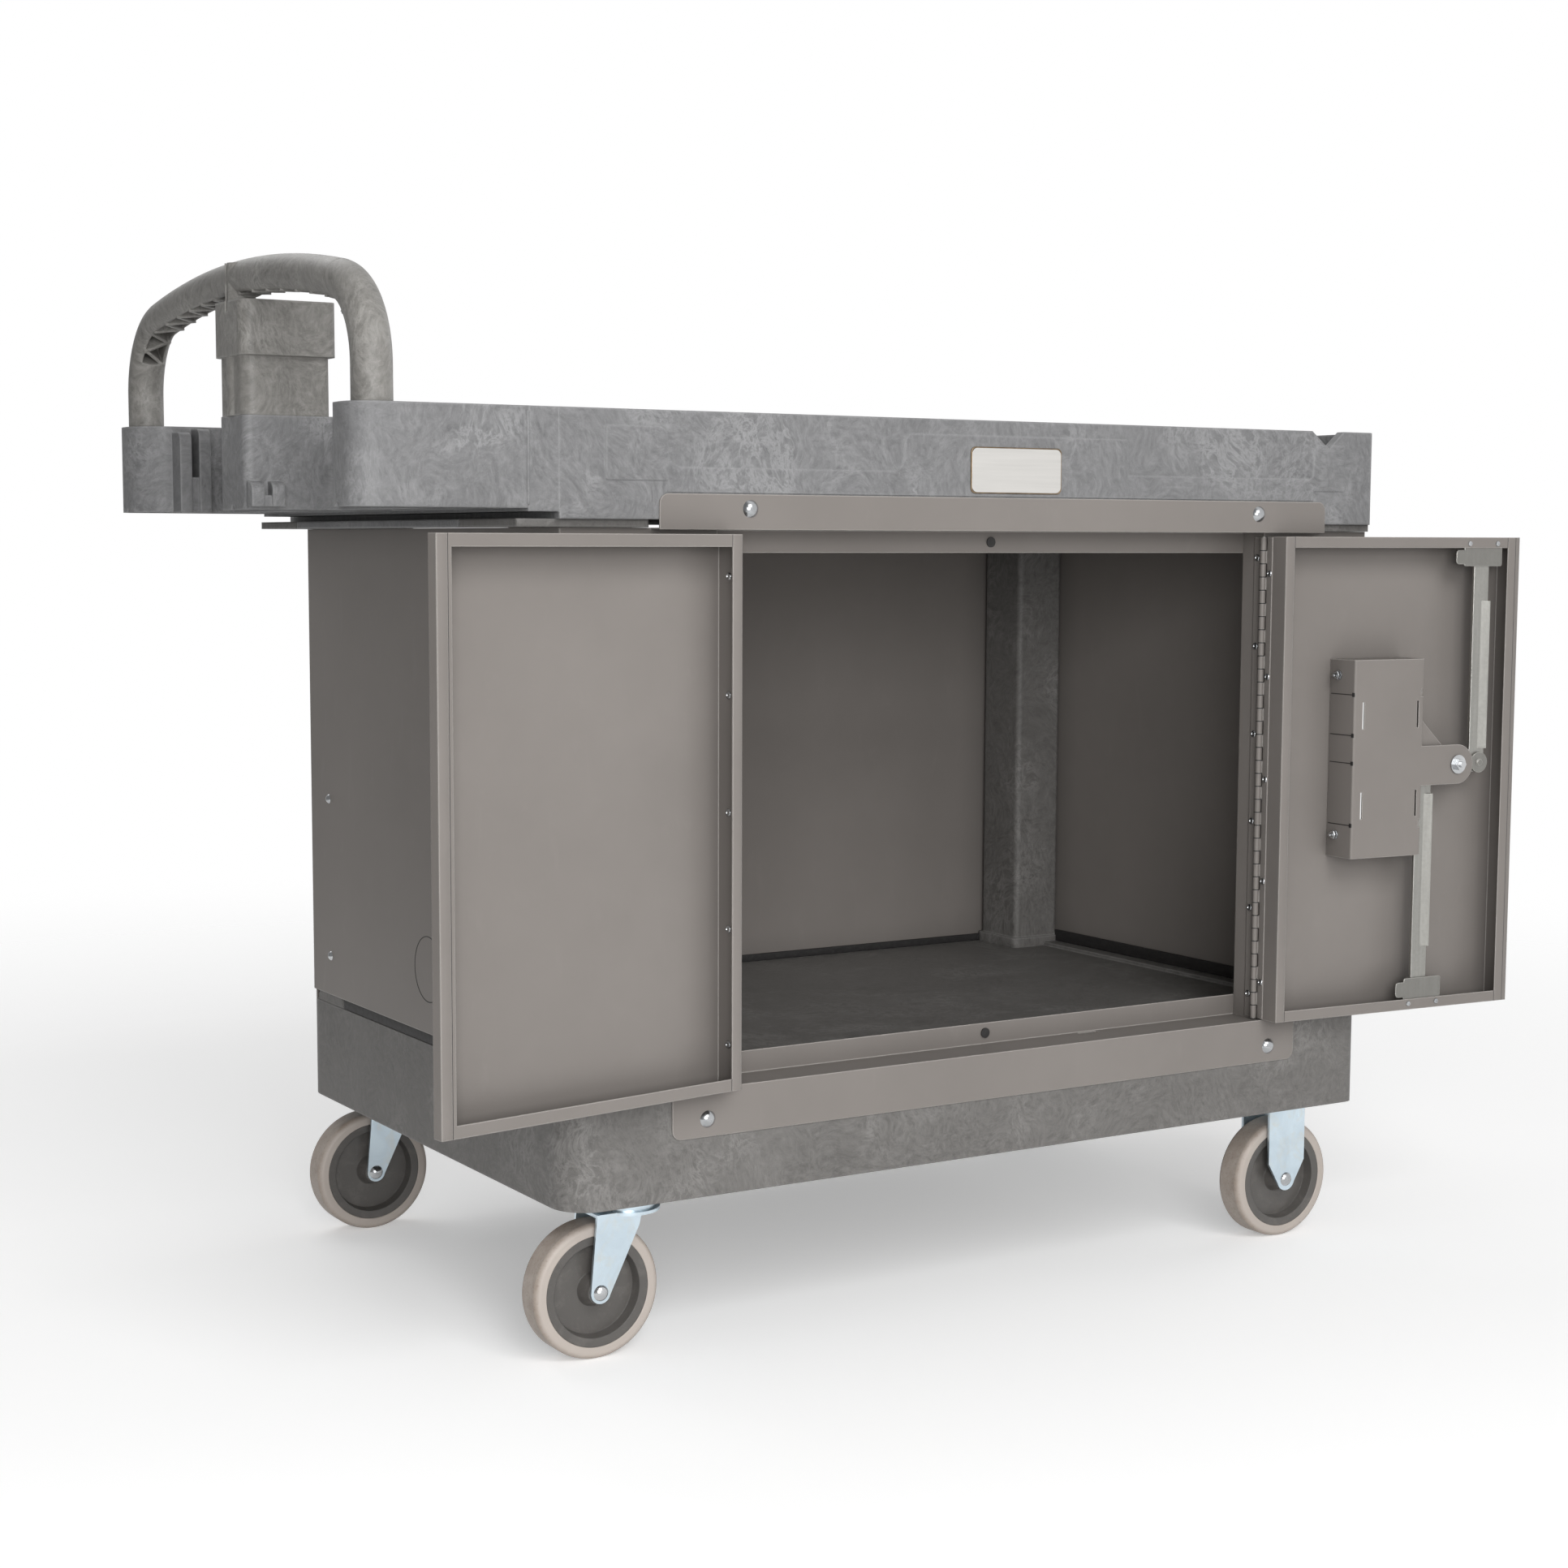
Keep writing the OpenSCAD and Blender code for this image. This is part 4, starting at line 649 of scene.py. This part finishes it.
top_lap, low_lap = (door_high - return_w, door_high - 0.3), (door_low + 0.3, door_low + return_w)
whole = (door_low + 0.3, door_high - 0.3)
hems(right_door, "right", "right_door", right_skin)
hems(left_door, "left", "left_door", left_skin)
inner_x = left_skin[0] + return_w
lap_shade_lines(right_door, "right", "right_door",
     [(inner_x, *top_lap), (inner_x, *low_lap), (right_skin[1], *top_lap), (right_skin[1], *low_lap),
      (lip_x, *whole)])
lap_shade_lines(left_door, "left", "left_door", [(inner_x, *top_lap), (inner_x, *low_lap), (left_skin[1], *whole)])

# %% Seams of the latch box and seals of the cabinet
seam_heights = (588.0, 545.6, 516.5, 451.6)
seams = [((box_side - 0.25, 4.0, z), (box_side + 0.6, box_front - 0.5, z + 0.9)) for z in seam_heights]
bars("box_seams", seams, 1, 0.2, right_door, "right_door", rubber)
seam_ends = [((box_side - 0.3, box_front - 4.0, z - 1.6), (box_side + 3.0, box_front - 0.6, z + 2.6))
             for z in seam_heights]
bars("box_seam_ends", seam_ends, 0, 0.3, right_door, "right_door", rubber)

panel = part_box("side_panel_left")[0].x / mm + 1.6
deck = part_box("base_deck")[1].z / mm
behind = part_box("back_panel")[0].y / mm - 0.1
seal_x, seal_front, seal_end, back_half = abs(panel) - 2.0, -194.0, 208.5, 408.5
side_seals = [((sign * seal_x - 2.0, seal_front, deck + 0.1), (sign * seal_x + 2.0, seal_end, deck + 14.0))
              for sign in (-1, 1)]
back_seal = ((-back_half, behind - 4.0, deck - 4.4), (back_half, behind, deck + 4.0))
bars("seals_side", side_seals, 1, 1.0, cart, "cart", rubber)
bars("seal_back", [back_seal], 0, 1.0, cart, "cart", rubber)

# %% [markdown]
# ## Rims and rings
# The plate on the tray stands on a thin dark brown edge, partly bronze colour and partly painted shade for
# the plate's shaded rim; the wheel cores carry a raised ring near their rim, and the left panel has a round
# knock-out. A tube round a closed path makes the first and turned profiles the others.

# %% Plate edge
def tube_round(outline, radius, y, steps=8):
    """Tube round a closed path in the X-Z plane: p + r (cos(s) n + sin(s) Y), n being the path's outer normal."""
    ahead = np.roll(outline, -1, 0) - np.roll(outline, 1, 0)
    ahead /= np.linalg.norm(ahead, axis=1)[:, None]
    normal = np.stack([ahead[:, 1], 0 * ahead[:, 0], -ahead[:, 0]], axis=-1)
    path = np.stack([outline[:, 0], np.full(len(outline), y), outline[:, 1]], axis=-1)
    s = np.linspace(0.0, 2 * np.pi, steps, endpoint=False)[None, :, None]
    return path[:, None] + radius * (np.cos(s) * normal[:, None] + np.sin(s) * np.array((0.0, 1.0, 0.0)))


def edge_bronze_and_shade():
    """Dull brown metal, partly painted shade for the plate's edge, paler where it is rubbed."""
    f = Finish("edge_bronze_and_shade", {"Metallic": 0.85})
    lighten_mask = f.ramp(f.noise(160.0, 5.0, 0.65), (0.40, 0.0), (0.70, 1.0))
    # partly painted shade: a dark brown ring for the shaded edge of the plate
    f.feed("Base Color", f.mix(lighten_mask, (0.150, 0.105, 0.062), (0.270, 0.205, 0.135)))
    f.feed("Roughness", 0.36 + lighten_mask * 0.16)
    f.bump(lighten_mask, 0.00004, 0.5)
    return f.material


plate_low, plate_high = (np.array(corner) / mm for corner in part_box("name_plate"))
plate_size, plate_mid = plate_high - plate_low, (plate_high + plate_low) / 2
edge_r, edge_grow, edge_corner = 0.9, 0.6, 4.3
edge_path = rounded_outline(plate_size[0] + edge_grow, plate_size[2] + edge_grow, edge_corner, 6)
edge_path += plate_mid[[0, 2]]
edge_grid = placed(tube_round(edge_path, edge_r, plate_high[1] - edge_r * 0.7), cart)
fit(surface("plate_edge", edge_grid, close_rows=True, close_columns=True), edge_bronze_and_shade(), "cart")

# %% Rings of the wheel cores
wheel_bodies = {"rigid_front": "rigid_wheel_front", "rigid_back": "rigid_wheel_back",
                "swivel_front": "swivel_wheel_front", "swivel_back": "swivel_wheel_back"}
ring_section = [(42.6, 3.2), (43.3, 5.2), (44.2, 5.6), (44.9, 5.4), (45.6, 4.0), (45.4, 2.6), (43.2, 2.4)]


def core_relief(name, section, node, body):
    """Closed profile turned round the axle on both faces of a wheel core."""
    centre = np.array(axle_of(node))[None]
    faces = [turned(section, centre, (0, -1, 0), 48), turned(section, centre, (0, 1, 0), 48)]
    piece = surface(name, np.concatenate(faces), close_rows=True, close_columns=True)
    fit(piece, core_finish, body)


for key, body in wheel_bodies.items():
    core_relief("core_ring_" + key, ring_section[::-1], "core_" + key, body)
print("ring profile", len(ring_section), "points")

# %% Knock-out on the left panel
ring_r = 32.5
ring_y, ring_z = -15.0, 327.0
knock_out = [(ring_r - 0.5, 0.2), (ring_r - 0.3, 0.25), (ring_r + 0.3, 0.25),
             (ring_r + 0.5, -0.3), (ring_r - 0.5, -0.3)]
panel_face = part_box("side_panel_left")[0].x
knock_grid = turned(knock_out[::-1], np.array(((panel_face, ring_y * mm, ring_z * mm),)), (-1, 0, 0), 64)
fit(surface("knock_out_ring", knock_grid, close_rows=True, close_columns=True), rubber, "cart")

# %% [markdown]
# ## The console's seam
# Where the console meets the tray, the moulding carries a slim vertical bead. It is half buried in the
# wall, so only its rounded back shows.

# %% Console bead
bead_x, bead_r, bead_depth = -512.0, 1.3, 3.2
tray_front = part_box("upper_tray")[0].y / mm
console_low, console_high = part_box("handle_console")[0].z / mm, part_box("handle_console")[1].z / mm
bead = ((bead_x - bead_r, tray_front, console_low + 3.0),
        (bead_x + bead_r, tray_front + bead_depth, console_high - 4.0))
bars("console_bead", [bead], 2, 1.0, cart, "cart", tray_resin)

# %% [markdown]
# ## Floor, background and light
# The cart stands on a pale floor in front of white. The world is white only for rays that come from the
# camera, from gloss or through glass, and dimmer for the light that falls on the object. In gloss it is
# white to the right and dim to the left, as in a studio with one dark wall, so the end panel stays dark
# and the bolt heads get contrast. The floor is lit up a little for camera and gloss and thins out to
# nothing a few metres away, so that only the soft shadow is left of it. A broad lamp high at the front
# lights doors and tray, a lower one at the front left fills them, and two weaker ones light the far end
# and the back. The inside of the cabinet and the handle end stay darker, as in the photograph.

# %% World
def white_world(level, dim_gloss):
    """White for the camera; in gloss white on the right and dim on the left; dimmer for plain light."""
    world = bpy.data.worlds.new("world")
    bpy.context.scene.world = world
    world.use_nodes = True
    sky = Nodes(world.node_tree)
    sky.tree.nodes.clear()
    rays = ("Camera", "Glossy", "Transmission")
    path = {ray: sky.node("ShaderNodeLightPath", out=f"Is {ray} Ray") for ray in rays}
    turned_right = sky.node("ShaderNodeVectorMath", {"operation": "DOT_PRODUCT"}, {
        0: sky.node("ShaderNodeTexCoord", out="Generated"), 1: (1.0, 0.0, 0.0)}, "Value")
    shine = sky.node("ShaderNodeMapRange", {"interpolation_type": "SMOOTHSTEP"}, {
        "Value": turned_right, "From Min": -0.40, "From Max": 0.15, "To Min": dim_gloss, "To Max": 1.0})
    plain = path["Glossy"] * (shine - level) + level
    seen = path["Camera"].maths("MAXIMUM", path["Transmission"])
    light = sky.node("ShaderNodeBackground", None, {
        "Color": (1.0, 1.0, 1.0, 1.0), "Strength": seen * (1.0 - plain) + plain})
    sky.node("ShaderNodeOutputWorld", None, {"Surface": light}, None)


white_world(0.30, 0.28)
print("world:", bpy.context.scene.world.name)

# %% Floor
def floor_disc(radius, rings=24, turns=96):
    """Flat disc: x = r cos t, y = r sin t, z = 0, with r growing as the square of the ring number."""
    r = radius * (np.linspace(0.04, 1.0, rings) ** 2)[:, None]
    t = np.linspace(0.0, 2 * np.pi, turns, endpoint=False)[None, :]
    return np.stack([r * np.cos(t), r * np.sin(t), 0.0 * r * t], axis=-1)


def floor_finish(fade_from, fade_to, glow):
    """Pale floor that thins out to nothing between two distances from the middle."""
    f = Finish("floor", {"Roughness": 0.9, "Specular IOR Level": 0.0, "Emission Strength": 1.0})
    f.feed("Base Color", f.mix(f.noise(0.8, 3.0), (0.88, 0.88, 0.88), (0.92, 0.92, 0.92)))
    seen = f.node("ShaderNodeLightPath", out="Is Camera Ray").maths(
        "MAXIMUM", f.node("ShaderNodeLightPath", out="Is Glossy Ray"))
    f.feed("Emission Color", seen * glow)
    away = f.node("ShaderNodeVectorMath", {"operation": "LENGTH"}, {0: f.place}, "Value")
    gone = f.node("ShaderNodeMapRange", {"interpolation_type": "SMOOTHSTEP"},
                  {"Value": away, "From Min": fade_from, "From Max": fade_to})
    clear = f.node("ShaderNodeBsdfTransparent")
    shown = Value(f.tree, f.shader.outputs[0])
    f.tree.links.new(f.node("ShaderNodeMixShader", None, {0: gone, 1: shown, 2: clear}).socket,
                     f.out.inputs["Surface"])
    return f.material


floor = surface("floor", floor_disc(6.0), close_columns=True, cap_start=True)
dress(floor, floor_finish(1.0, 3.2, 0.30))
print("floor with", len(floor.data.polygons), "faces")

# %% Lamps
def lamp(name, place, target, size, power):
    """Rectangular lamp that faces its target."""
    light = bpy.data.lights.new(name, "AREA")
    light.shape = "RECTANGLE"
    light.size, light.size_y = size
    light.energy = power
    shown = bpy.data.objects.new(name, light)
    bpy.context.scene.collection.objects.link(shown)
    back = np.array(place, float) - np.array(target, float)
    back /= np.linalg.norm(back)
    side = np.cross((0.0, 0.0, 1.0), back)
    side /= np.linalg.norm(side)
    turn = np.eye(4)
    turn[:3, 0], turn[:3, 1], turn[:3, 2], turn[:3, 3] = side, np.cross(back, side), back, place
    shown.matrix_world = Matrix(turn)
    print(name, "lamp", power, "W")


lamp("key", (-0.5, -4.0, 3.3), (0.0, -0.1, 0.45), (2.6, 2.0), 86.0)
lamp("front", (-1.5, -3.2, 1.0), (-0.05, 0.0, 0.4), (1.6, 1.3), 64.0)
lamp("right", (4.0, 0.8, 1.9), (0.3, 0.0, 0.45), (2.0, 1.6), 20.0)
lamp("back_top", (-0.6, 2.6, 3.4), (0.0, 0.2, 0.5), (2.6, 2.0), 30.0)
bpy.context.scene.view_settings.view_transform = "Standard"
